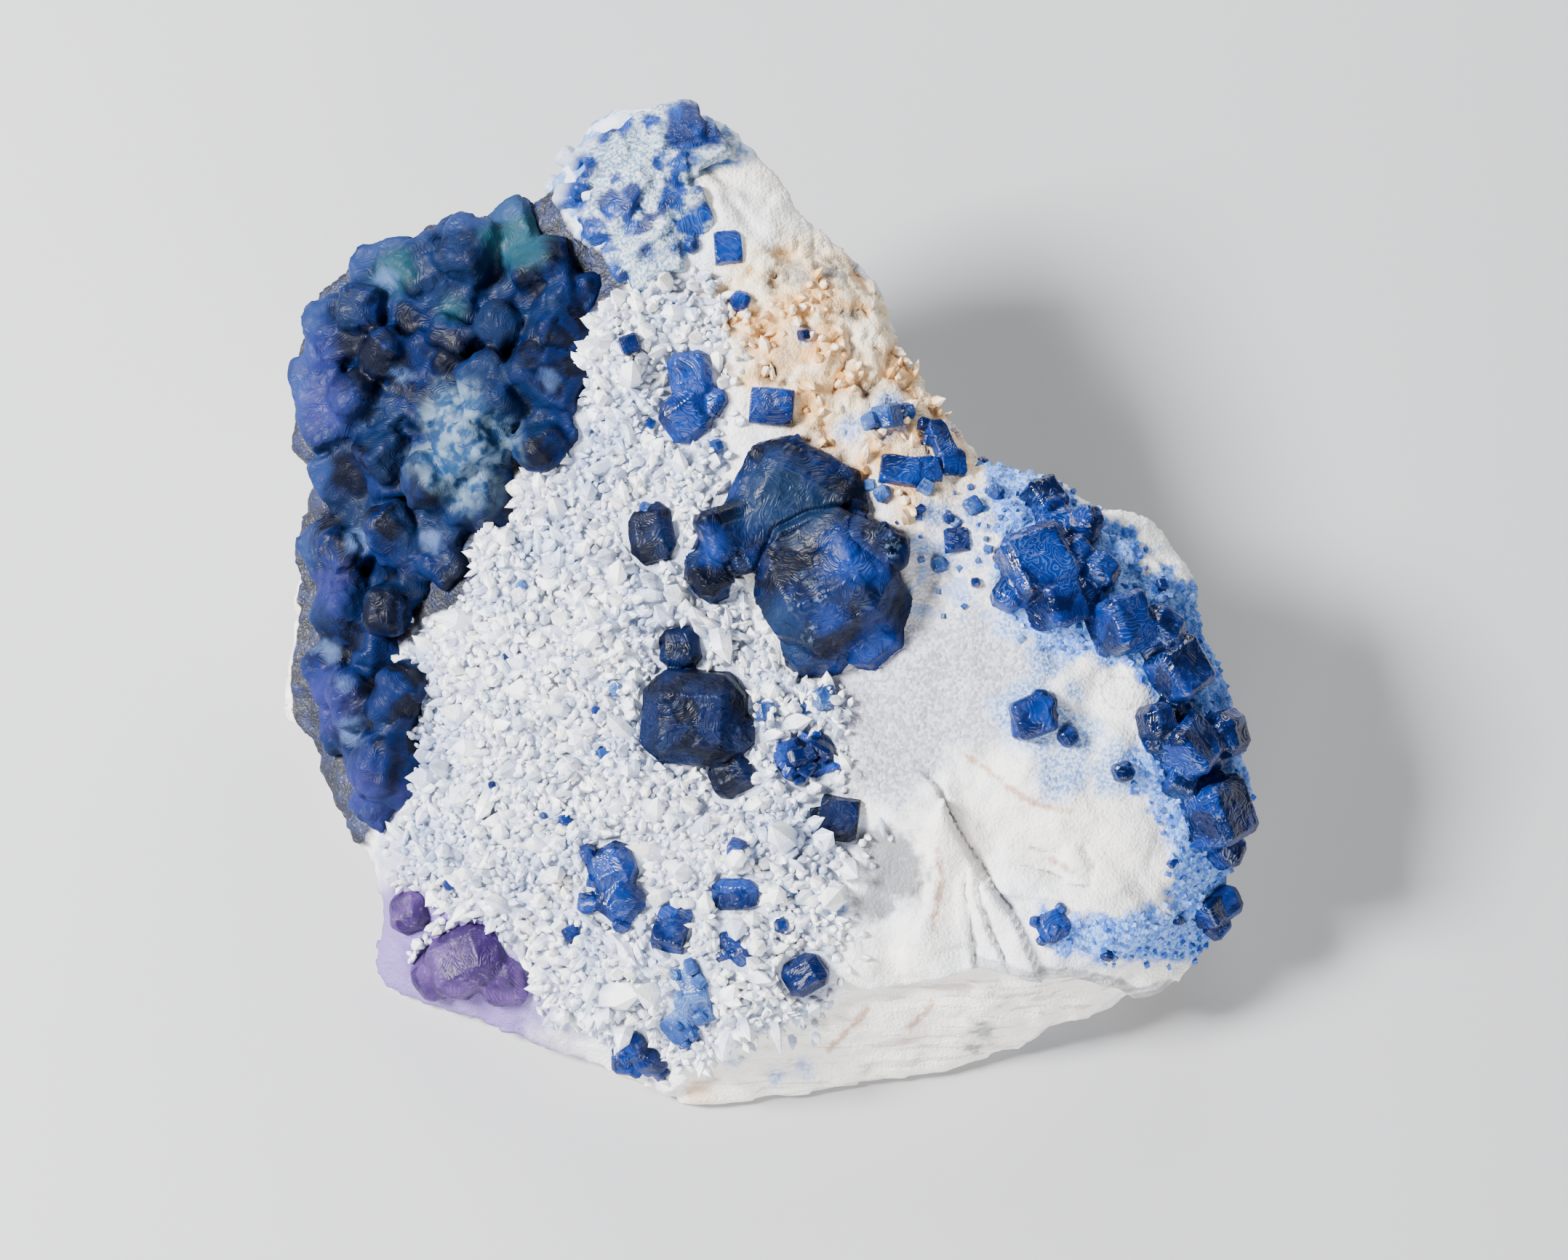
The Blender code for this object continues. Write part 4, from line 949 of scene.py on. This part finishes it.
SMALL_BLUES = [
    (-12.0, 22.2, 1.5, 20, 10), (-3.3, 25.4, 1.5, 75, 20), (1.4, 22.9, 0.8, 10, 10),
    (-26.0, -19.8, 0.9, 30, 15), (-17.0, -14.7, 0.8, 10, 20), (-18.6, -14.4, 0.5, 40, 10),
    (-3.6, -17.1, 1.3, 70, 25), (-0.2, -23.0, 1.1, 10, 20), (-16.4, -23.6, 1.2, 30, 20),
    (12.7, 8.7, 0.8, 10, 10), (10.6, 9.4, 0.7, 40, 10), (14.9, 3.6, 0.7, 15, 15), (0.9, 14.5, 1.0, 35, 15),
    (-21.4, -2.0, 0.6, 20, 10), (-10.4, 16.0, 0.7, 50, 10), (-22.6, -12.0, 0.6, 15, 10),
    (-9.6, -9.0, 0.7, 65, 20), (-14.6, -6.2, 0.6, 5, 15), (-28.6, -10.4, 0.6, 25, 10),
    (-23.8, -22.0, 0.7, 45, 10), (-9.4, -26.4, 0.7, 30, 10), (-8.6, 25.0, 0.7, 15, 10),
]
PALE_BLUES = [
    (3.1, -5.3, 1.7, 20, 20), (1.6, -6.2, 1.2, 50, 10), (-1.5, -6.3, 1.4, 10, 20),
    (-13.1, -4.6, 1.0, 40, 10), (8.0, 16.6, 1.9, 12, 30), (9.4, 16.9, 1.3, 12, 30),
    (6.8, 16.2, 1.3, 12, 30), (7.6, 10.6, 1.3, 30, 10), (6.6, 11.2, 0.9, 10, 10),
    (-5.4, 14.2, 1.1, 20, 30), (10.9, 11.0, 1.2, 55, 10), (12.0, 5.0, 1.2, 20, 10),
    (14.6, 9.6, 1.3, 30, 10), (16.4, 10.6, 1.2, 50, 10), (0.9, -20.0, 0.9, 30, 10),
    (-10.8, 9.4, 0.9, 60, 20), (-14.0, -9.6, 0.9, 15, 20), (-20.4, 3.4, 0.8, 35, 20),
]


def standing_crystals(kinds, finish, sites, surface, lift=0.0, scale=1.0):
    """Crystals that stand where a viewer sees each (u, v), leaning towards their turn."""
    bm = bmesh.new()
    bm.from_mesh(surface)
    tree = BVHTree.FromBMesh(bm)
    bm.free()
    eye = Vector((FACE_MIDDLE + FACE_OUT * VIEW_DISTANCE) * MM)
    meshes = []
    for number, (u, v, size, turn, lean) in enumerate(sites):
        target = Vector((FACE_MIDDLE + FACE_RIGHT * u + FACE_UP * v) * MM)
        place, normal, *_ = tree.ray_cast(eye, (target - eye).normalized())
        if place is None:
            continue
        normal = (normal + Vector(FACE_OUT)).normalized()
        across = normal.cross(Vector(FACE_UP)).normalized() * -1
        upright = Matrix((across, normal.cross(across), normal)).transposed().to_4x4()
        towards = Matrix.Rotation(math.radians(turn), 4, "Z") @ Matrix.Rotation(math.radians(lean), 4, "Y")
        mesh = kinds.objects[number % len(kinds.objects)].data.copy()
        size *= scale * MM
        stance = Matrix.Translation(place + normal * size * lift) @ upright @ towards
        mesh.transform(stance @ Matrix.Scale(size, 4))
        set_field(mesh, "tone", np.full(len(mesh.vertices), 0.2 + 0.6 * (number * 0.618 % 1)))
        mesh.materials.append(FINISH[finish])
        meshes.append(mesh)
    return joined("standing_crystals", meshes)


def covered_by_fluorite(points, normals, facing):
    """Where a fluorite growth stands over the rock, or all but touches it."""
    bm = bmesh.new()
    for name, node in frame["nodes"].items():
        if name != "matrix":
            bm.from_mesh(node.data)
    tree = BVHTree.FromBMesh(bm)
    bm.free()
    covered = np.zeros(len(points), bool)
    for number in np.nonzero(facing)[0]:
        point, normal = Vector(points[number]), Vector(normals[number])
        above = tree.ray_cast(point - normal * 0.2 * MM, normal, 3.0 * MM)[0]
        covered[number] = above is not None or tree.find_nearest(point, 0.5 * MM)[0] is not None
    return covered


def make_rock_mesh():
    """The quartz block: the solid's form with its broken, drusy and stained surfaces worked into it."""
    mesh = even_mesh(solid_copy("matrix"), ROCK_GRAIN, 5)
    bm = bmesh.new()
    bm.from_mesh(mesh)
    out = Vector(FACE_OUT)
    bm.normal_update()
    shown = {
        face for face in bm.faces if face.normal.dot(out) > 0.25 and face.calc_center_median().z > 1.5 * MM
    }
    edges = {edge for face in shown for edge in face.edges}
    bmesh.ops.subdivide_edges(bm, edges=list(edges), cuts=1, use_grid_fill=True)
    bmesh.ops.triangulate(bm, faces=[face for face in bm.faces if len(face.verts) > 4])
    bm.to_mesh(mesh)
    bm.free()

    points, normals = mesh_places(mesh), mesh_normals(mesh)
    u, v, w = show_place(points)
    places = points / MM
    facing = soft(normals @ FACE_OUT, 0.0, 0.3) * soft(w, -19.0, -17.5)
    covered = covered_by_fluorite(points, normals, facing > 0.5)

    regions = {name: reach(u, v, outline) for name, outline in OUTLINES.items()}
    weight = {name: soft(value, -0.6, 0.8) * facing for name, value in regions.items()}
    calm = np.clip(weight["facet"] + weight["wall"] * 0.6, 0, 1)

    # Broad forms first, then the fine relief, which also decides where stains settle and where shade is
    # painted.
    height = np.full(len(points), LIFT) * facing
    height += lumps(places, 3.4, 11) * (0.5 - 0.35 * calm)
    height += lumps(places, 4.2, 13) * 1.1 * weight["druse"]
    height += lumps(places, 2.2, 17) * 0.5 * (weight["dark"] + weight["head"])
    chunk, border = chunks(places, 7.5, 21)
    height += ((chunk - 0.5) * 1.6 - 0.5 * soft(border, 0.9, 0.0)) * (1 - facing)
    chunk, border = chunks(places * (1, 1, 1.6), 2.6, 22)
    height += ((chunk - 0.5) * 0.5) * (1 - facing * 0.75) * (1 - weight["druse"])
    height += lumps(places, 5.0, 19) * 0.7 * (1 - weight["druse"]) * (1 - calm)
    chunk, border = chunks(places + lumps(places, 1.5, 25, 2)[:, None] * 0.6, 1.9, 24)
    height += ((chunk - 0.5) * 0.35 - 0.25 * soft(border, 0.3, 0.0)) * weight["ochre"]
    for line, rise, width in STEPS:
        raised = soft(line_side(u, v, line), -0.12, 0.12)
        height += rise * raised * np.exp(-((line_distance(u, v, line) / width) ** 2)) * facing
    for line, width, rise in RIDGES:
        height += rise * np.exp(-((line_distance(u, v, line) / width) ** 2)) * facing
    above_ledge = soft(-regions["wall"], -0.25, 0.25)
    from_ledge = line_distance(u, v, WALL_TOP)
    height += facing * np.exp(-((from_ledge / 1.5) ** 2)) * (0.55 * above_ledge - 0.7 * (1 - above_ledge))
    height -= 0.9 * np.clip(patch_reach(u, v, PATCHES["pit"]) + 0.2, 0, 1) * facing

    relief = lumps(places, 1.1, 12) * (0.16 - 0.08 * calm)
    relief -= (np.abs(lumps(places, 2.0, 14)) * 0.7 - 0.15) * weight["ochre"]
    relief += lumps(places, 0.9, 15) * 0.25 * weight["ochre"]
    relief += lumps(places, 0.8, 16) * 0.18 * (weight["cobalt"] + weight["slope"])
    relief += lumps(places * (0.22, 1, 1), 0.9, 23) * 0.2 * weight["wall"]
    height = np.where(covered, np.minimum(height, 0.4), height + relief)
    height *= soft(places[:, 2], 0.0, 1.6)
    points = points + normals * height[:, None] * MM
    underside = (normals[:, 2] < -0.7) & (places[:, 2] < 1.0)
    points[:, 2] = np.where(underside, 0, np.maximum(points[:, 2], 0))
    place_mesh(mesh, points)

    away = (1 - facing) * 6
    lines = {"crack": (CRACKS, 0.08), "rust": (RUST_LINES, 0.22), "ledge": ([LEDGE], 0.42)}
    for name, (drawn, width) in lines.items():
        regions[name] = width - np.min([line_distance(u, v, line) for line in drawn], axis=0)
    for name in ROCK_PATCHES:
        regions[name] = patch_reach(u, v, PATCHES[name])
    for name, value in regions.items():
        set_field(mesh, name, np.clip(value, -5, 5) - away)
    set_field(mesh, "flank", 1 - facing)
    set_field(mesh, "relief", np.clip(relief / 0.35, -1, 1))

    # Where crystals may grow, by the field that their growth reads.
    bare = ~covered
    open_face = (facing > 0.4) * bare
    from_rim = line_distance(u, v, LEFT_RIM)
    from_top = line_distance(u, v, HEAD_TOP)
    unwhitened = soft(regions["white"], 0.3, -0.3)
    open_druse = open_face * soft(from_rim, 1.8, 3.2)
    fringe = soft(regions["druse"], -2.6, 0.2) * (1 - weight["facet"]) * (1 - weight["dark"])
    golden = soft(regions["gold"], -0.5, 0.4) * soft(regions["ochre"], -3.0, -1.5)
    rooms = {
        "druse": soft(regions["druse"], -0.3, 0.3) * open_druse,
        "fringe": fringe * open_druse,
        "gold": golden * open_face,
        "cobalt": soft(regions["cobalt"], -0.8, 0.6) * (facing > 0.3) * bare * unwhitened,
        "speckle": soft(regions["slope"], -1.5, 1.5) * open_face,
        "dark": soft(regions["dark"], -0.1, 0.6) * (facing > 0.1) * soft(from_rim, 2.0, 3.2),
        "head": soft(regions["head"], -0.2, 0.5) * (facing > 0.2) * soft(from_top, 1.2, 2.4),
    }
    for name, room in rooms.items():
        set_field(mesh, f"{name}_room", room)
    mesh.materials.append(FINISH["rock"])
    mesh.polygons.foreach_set("use_smooth", np.ones(len(mesh.polygons), bool))
    return mesh


def without_rooms(mesh):
    """A mesh without the fields that only growths read."""
    for name in [field.name for field in mesh.attributes if field.name.endswith("_room")]:
        mesh.attributes.remove(mesh.attributes[name])
    return mesh


def worn_crystal_mesh(node, grain, smoothing, step, finish, seed, melted=(), more=()):
    """A fluorite growth with eased edges and low waves on its faces, and other crystals melted into it."""
    mesh = joined(node, [solid_copy(node), *more])
    if melted:
        rough = even_mesh(mesh.copy(), ROUGH_GRAIN, 3)
        u, v, _ = show_place(mesh_places(rough))
        inside_rim = soft(line_distance(u, v, LEFT_RIM), 1.4, 2.6)
        set_field(rough, "melted_room", (mesh_normals(rough) @ FACE_OUT > 0.3) * inside_rim)
        spacing, smallest, largest = melted
        knobs = grow(rough, CRYSTALS, "melted_room", finish, seed, spacing, smallest, largest, lean=25)
        mesh = joined(node, [mesh, knobs])
    mesh = even_mesh(mesh, grain, smoothing)
    points, normals = mesh_places(mesh), mesh_normals(mesh)
    places = points / MM
    chunk, border = chunks(places + lumps(places, 1.4, seed, 2)[:, None] * 0.5, 1.9, seed + 3)
    height = (chunk - 0.5) * step + lumps(places, 1.3, seed + 5, 3) * step * 1.2
    out = normals @ FACE_OUT
    if node == "fluorite_large_pair":
        u, v, _ = show_place(points)
        side, far = line_side(u, v, PAIR_EDGE), line_distance(u, v, PAIR_EDGE)
        front = 0.7 * soft(-side, -0.1, 0.3) * np.exp(-((far / 2.4) ** 2))
        height += front - 0.35 * np.exp(-((far / 0.3) ** 2))
    points = points + normals * (height * soft(out, -0.4, 0.0))[:, None] * MM
    place_mesh(mesh, points)
    set_field(mesh, "tone", chunk)
    set_field(mesh, "side_room", (out > -0.1) & (out < 0.6))
    set_field(mesh, "open_room", out > -0.1)
    mesh.polygons.foreach_set("use_smooth", np.ones(len(mesh.polygons), bool))
    mesh.materials.clear()
    mesh.materials.append(FINISH[finish])
    return mesh


# Every fluorite growth: its slot and finish, its mesh grain, the rounds of smoothing that ease its edges, the
# height of its steps, and the smaller crystals on it: how they sit, how close they are and how large.
FLUORITES = {
    "fluorite_large_pair": ("deep_blue_fluorite", "pair", 0.16, 2, 0.17, None),
    "fluorite_left_of_pair": ("deep_blue_fluorite", "deep", 0.11, 3, 0.08, None),
    "fluorite_dark_cube": ("deep_blue_fluorite", "deep", 0.13, 4, 0.12, None),
    "fluorite_rosette": ("blue_fluorite", "blue", 0.10, 2, 0.04, ("blades", 0.9, 1.1, 1.7)),
    "fluorite_square": ("deep_blue_fluorite", "deep", 0.09, 2, 0.04, None),
    "fluorite_lower_left": ("deep_blue_fluorite", "blue", 0.11, 4, 0.08, ("side_room", 2.0, 0.8, 1.3)),
    "fluorite_lens": ("blue_fluorite", "blue", 0.09, 3, 0.05, None),
    "fluorite_facet": ("blue_fluorite", "blue", 0.09, 2, 0.04, None),
    "fluorite_small_trio": ("blue_fluorite", "blue", 0.08, 2, 0.03, None),
    "fluorite_round": ("blue_fluorite", "blue", 0.09, 6, 0.05, None),
    "fluorite_pale_patch": ("pale_blue_fluorite", "pale", 0.11, 3, 0.08, ("open_room", 1.3, 0.6, 1.2)),
    "fluorite_foot_cluster": ("blue_fluorite", "blue", 0.10, 2, 0.05, ("side_room", 1.6, 0.6, 1.2)),
    "fluorite_upper_pair": ("blue_fluorite", "blue", 0.11, 4, 0.06, None),
    "fluorite_above_pair": ("blue_fluorite", "blue", 0.10, 3, 0.05, None),
    "fluorite_top_square": ("blue_fluorite", "blue", 0.09, 2, 0.03, None),
    "fluorite_shoulder_blocks": ("blue_fluorite", "blue", 0.10, 2, 0.04, ("side_room", 1.4, 0.6, 1.1)),
    "fluorite_small_cube": ("blue_fluorite", "blue", 0.08, 2, 0.03, None),
    "fluorite_right_crust": ("deep_blue_fluorite", "crust", 0.13, 2, 0.08, None),
    "fluorite_rim_beads": ("blue_fluorite", "blue", 0.11, 5, 0.06, None),
    "fluorite_inner_spot": ("blue_fluorite", "blue", 0.11, 12, 0.07, None),
    "fluorite_low_spot": ("blue_fluorite", "blue", 0.10, 3, 0.06, ("open_room", 1.4, 0.6, 1.1)),
    "fluorite_purple_large": ("purple_fluorite", "violet", 0.14, 10, 0.10, None),
    "fluorite_purple_small": ("purple_fluorite", "violet", 0.12, 8, 0.06, None),
    "fluorite_head_crust": ("pale_blue_fluorite", "head", 0.17, 12, 0.14, None),
    "fluorite_dark_wall": ("deep_blue_fluorite", "wall", 0.25, 14, 0.26, ("melted", 4.2, 3.2, 5.8)),
}
# The lower crystal of the great pair stands out in front of the upper one along its top edge.
PAIR_EDGE = [(-2.3, 2.4), (-2.0, 4.8), (-0.7, 7.8), (1.8, 9.1), (4.2, 9.4), (6.6, 8.5), (9.1, 7.5)]
OWN_PATCHES = {
    "fluorite_dark_wall": ("sugar", "teal", "lilac", "glint"), "fluorite_head_crust": ("royal",),
    "fluorite_large_pair": ("slate", "lit", "frosted"),
}


def add_piece(name, mesh, slot, *nodes):
    """A finished piece of the stone: it rides on the root body and stands for the CAD nodes named."""
    points = mesh_places(mesh)
    points[:, 2] = np.maximum(points[:, 2], 0)
    place_mesh(mesh, points)
    obj = new_object(name, mesh)
    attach(obj, "root")
    if nodes:
        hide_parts(*nodes)
    return obj


def build_stone():
    rock = make_rock_mesh()

    def grown(crystals, field, finish, seed, spacing, smallest, largest, **more):
        return without_rooms(grow(rock, crystals, field, finish, seed, spacing, smallest, largest, **more))

    # What is grown together with a growth in one form, and what stands by it as crystals of its own.
    grown_in = {
        "fluorite_large_pair": [standing_crystals(CRYSTALS, "pair", PAIR_SIDE, rock, lift=0.28)],
        "fluorite_inner_spot": [standing_crystals(CRYSTALS, "blue", INNER_SPOT, rock)],
        "fluorite_dark_wall": [grown(CRYSTALS, "dark_room", "wall", 41, 3.4, 2.6, 5.0, lean=25)],
        "fluorite_head_crust": [grown(CRYSTALS, "head_room", "head", 42, 1.6, 1.1, 2.0, lean=25)],
        "fluorite_right_crust": [standing_crystals(CRYSTALS, "crust", RIGHT_CRYSTALS, rock, lift=0.1)],
    }
    grown_on = {
        "fluorite_right_crust": [
            grown(GRAINS, "cobalt_room", "sugar", 43, 0.75, 0.20, 0.45, lean=40),
            grown(CRYSTALS, "cobalt_room", "crust", 44, 4.0, 0.5, 1.1, lean=20),
        ],
        "fluorite_small_cube": [
            grown(GRAINS, "speckle_room", "pale", 45, 1.5, 0.20, 0.45, lean=40),
            grown(CRYSTALS, "speckle_room", "pale", 47, 3.4, 0.6, 1.2, lean=20),
        ],
    }
    druse = joined("druse_points", [
        standing_crystals(POINTS, "druse", QUARTZ_PIECES, rock, scale=0.75),
        grown(POINTS, "druse_room", "druse", 30, 2.2, 0.50, 0.80, uneven=0.3, lean=38),
        grown(POINTS, "druse_room", "druse", 31, 1.0, 0.34, 0.56, uneven=0.3, lean=38),
        grown(POINTS, "druse_room", "druse", 32, 0.55, 0.20, 0.34, uneven=0.3, lean=40),
        grown(POINTS, "fringe_room", "druse", 34, 0.8, 0.22, 0.40, uneven=0.3, lean=40),
        grown(POINTS, "gold_room", "ochre", 33, 0.75, 0.24, 0.42, uneven=0.3, lean=40),
    ])
    specks = joined("small_fluorites", [
        standing_crystals(CRYSTALS, "blue", SMALL_BLUES, rock, lift=0.35),
        standing_crystals(CRYSTALS, "pale", PALE_BLUES, rock),
    ])
    add_piece("quartz_matrix", without_rooms(rock), "quartz_matrix", "matrix")
    add_piece("druse_points", druse, "quartz_matrix", "matrix")
    add_piece("small_fluorites", specks, "blue_fluorite")

    for number, (node, (slot, finish, grain, smoothing, step, outgrowth)) in enumerate(FLUORITES.items()):
        room, *sizes = outgrowth or (None,)
        seed = 100 + 20 * number
        name = node.replace("fluorite_", "crystal_")
        knobs = sizes if room == "melted" else ()
        body = worn_crystal_mesh(node, grain, smoothing, step, finish, seed, knobs, grown_in.get(node, ()))
        parts = [body, *grown_on.get(node, ())]
        if room == "blades":
            parts.append(grow(body, CRYSTALS, "open_room", finish, seed, *sizes, uneven=0.6, lean=50))
        elif room and not knobs:
            parts.append(grow(body, CRYSTALS, room, finish, seed, *sizes, lean=28))
        whole = joined(name, [without_rooms(part) for part in parts])
        u, v, _ = show_place(mesh_places(whole))
        for patch in OWN_PATCHES.get(node, ()):
            set_field(whole, patch, patch_reach(u, v, PATCHES[patch]))
        if node in OWN_PATCHES:
            set_field(whole, "rim", line_distance(u, v, LEFT_RIM))
        add_piece(name, whole, slot, node)

    for stock in (POINTS, GRAINS, CRYSTALS):
        for obj in list(stock.objects):
            bpy.data.objects.remove(obj)
        bpy.data.collections.remove(stock)


SKY_LIGHT = (0.86, 0.92, 1.0)
SKY_STRENGTH = 0.16
# The lamps, as (name, place from the middle of the face, size, power), in metres and watts.
LAMPS = [
    ("key_light", (-0.30, -0.02, 0.30), 0.12, 8.0), ("fill_light", (0.04, -0.44, 0.14), 0.30, 2.8),
    ("rim_light", (0.05, 0.36, 0.20), 0.20, 1.6),
]


def add_stage():
    """A pale floor, soft light from the upper left and right, and the camera in front of the show face."""
    bm = bmesh.new()
    bmesh.ops.create_grid(bm, x_segments=1, y_segments=1, size=3.0)
    mesh = bpy.data.meshes.new("floor")
    bm.to_mesh(mesh)
    bm.free()
    floor = new_object("floor", mesh)
    material, maker, shader = material_with("floor_paper", Roughness=0.9)
    tone = maker.blend(maker.noise(maker.place(), 8, 3), (0.42, 0.43, 0.45), (0.46, 0.46, 0.47))
    maker.put(shader.inputs["Base Color"], tone)
    mesh.materials.append(material)

    world = bpy.data.worlds.new("studio")
    world.use_nodes = True
    world.node_tree.nodes["Background"].inputs["Color"].default_value = (*SKY_LIGHT, 1)
    world.node_tree.nodes["Background"].inputs["Strength"].default_value = SKY_STRENGTH
    bpy.context.scene.world = world

    middle = Vector(FACE_MIDDLE) * MM
    for name, place, size, power in LAMPS:
        light = bpy.data.lights.new(name, "AREA")
        light.size = size
        light.energy = power
        obj = bpy.data.objects.new(name, light)
        obj.location = middle + Vector(place)
        obj.rotation_euler = (middle - obj.location).to_track_quat("-Z", "Y").to_euler()
        bpy.context.scene.collection.objects.link(obj)

    camera = bpy.data.cameras.new("camera")
    camera.lens = CAMERA_LENS
    camera.sensor_width = SENSOR_WIDTH
    camera.clip_start, camera.clip_end = 0.01, 10
    obj = bpy.data.objects.new("camera", camera)
    obj.location = middle + Vector(FACE_OUT) * VIEW_DISTANCE * MM
    obj.rotation_euler = (middle - obj.location).to_track_quat("-Z", "Y").to_euler()
    bpy.context.scene.collection.objects.link(obj)
    bpy.context.scene.camera = obj


add_stage()
build_stone()
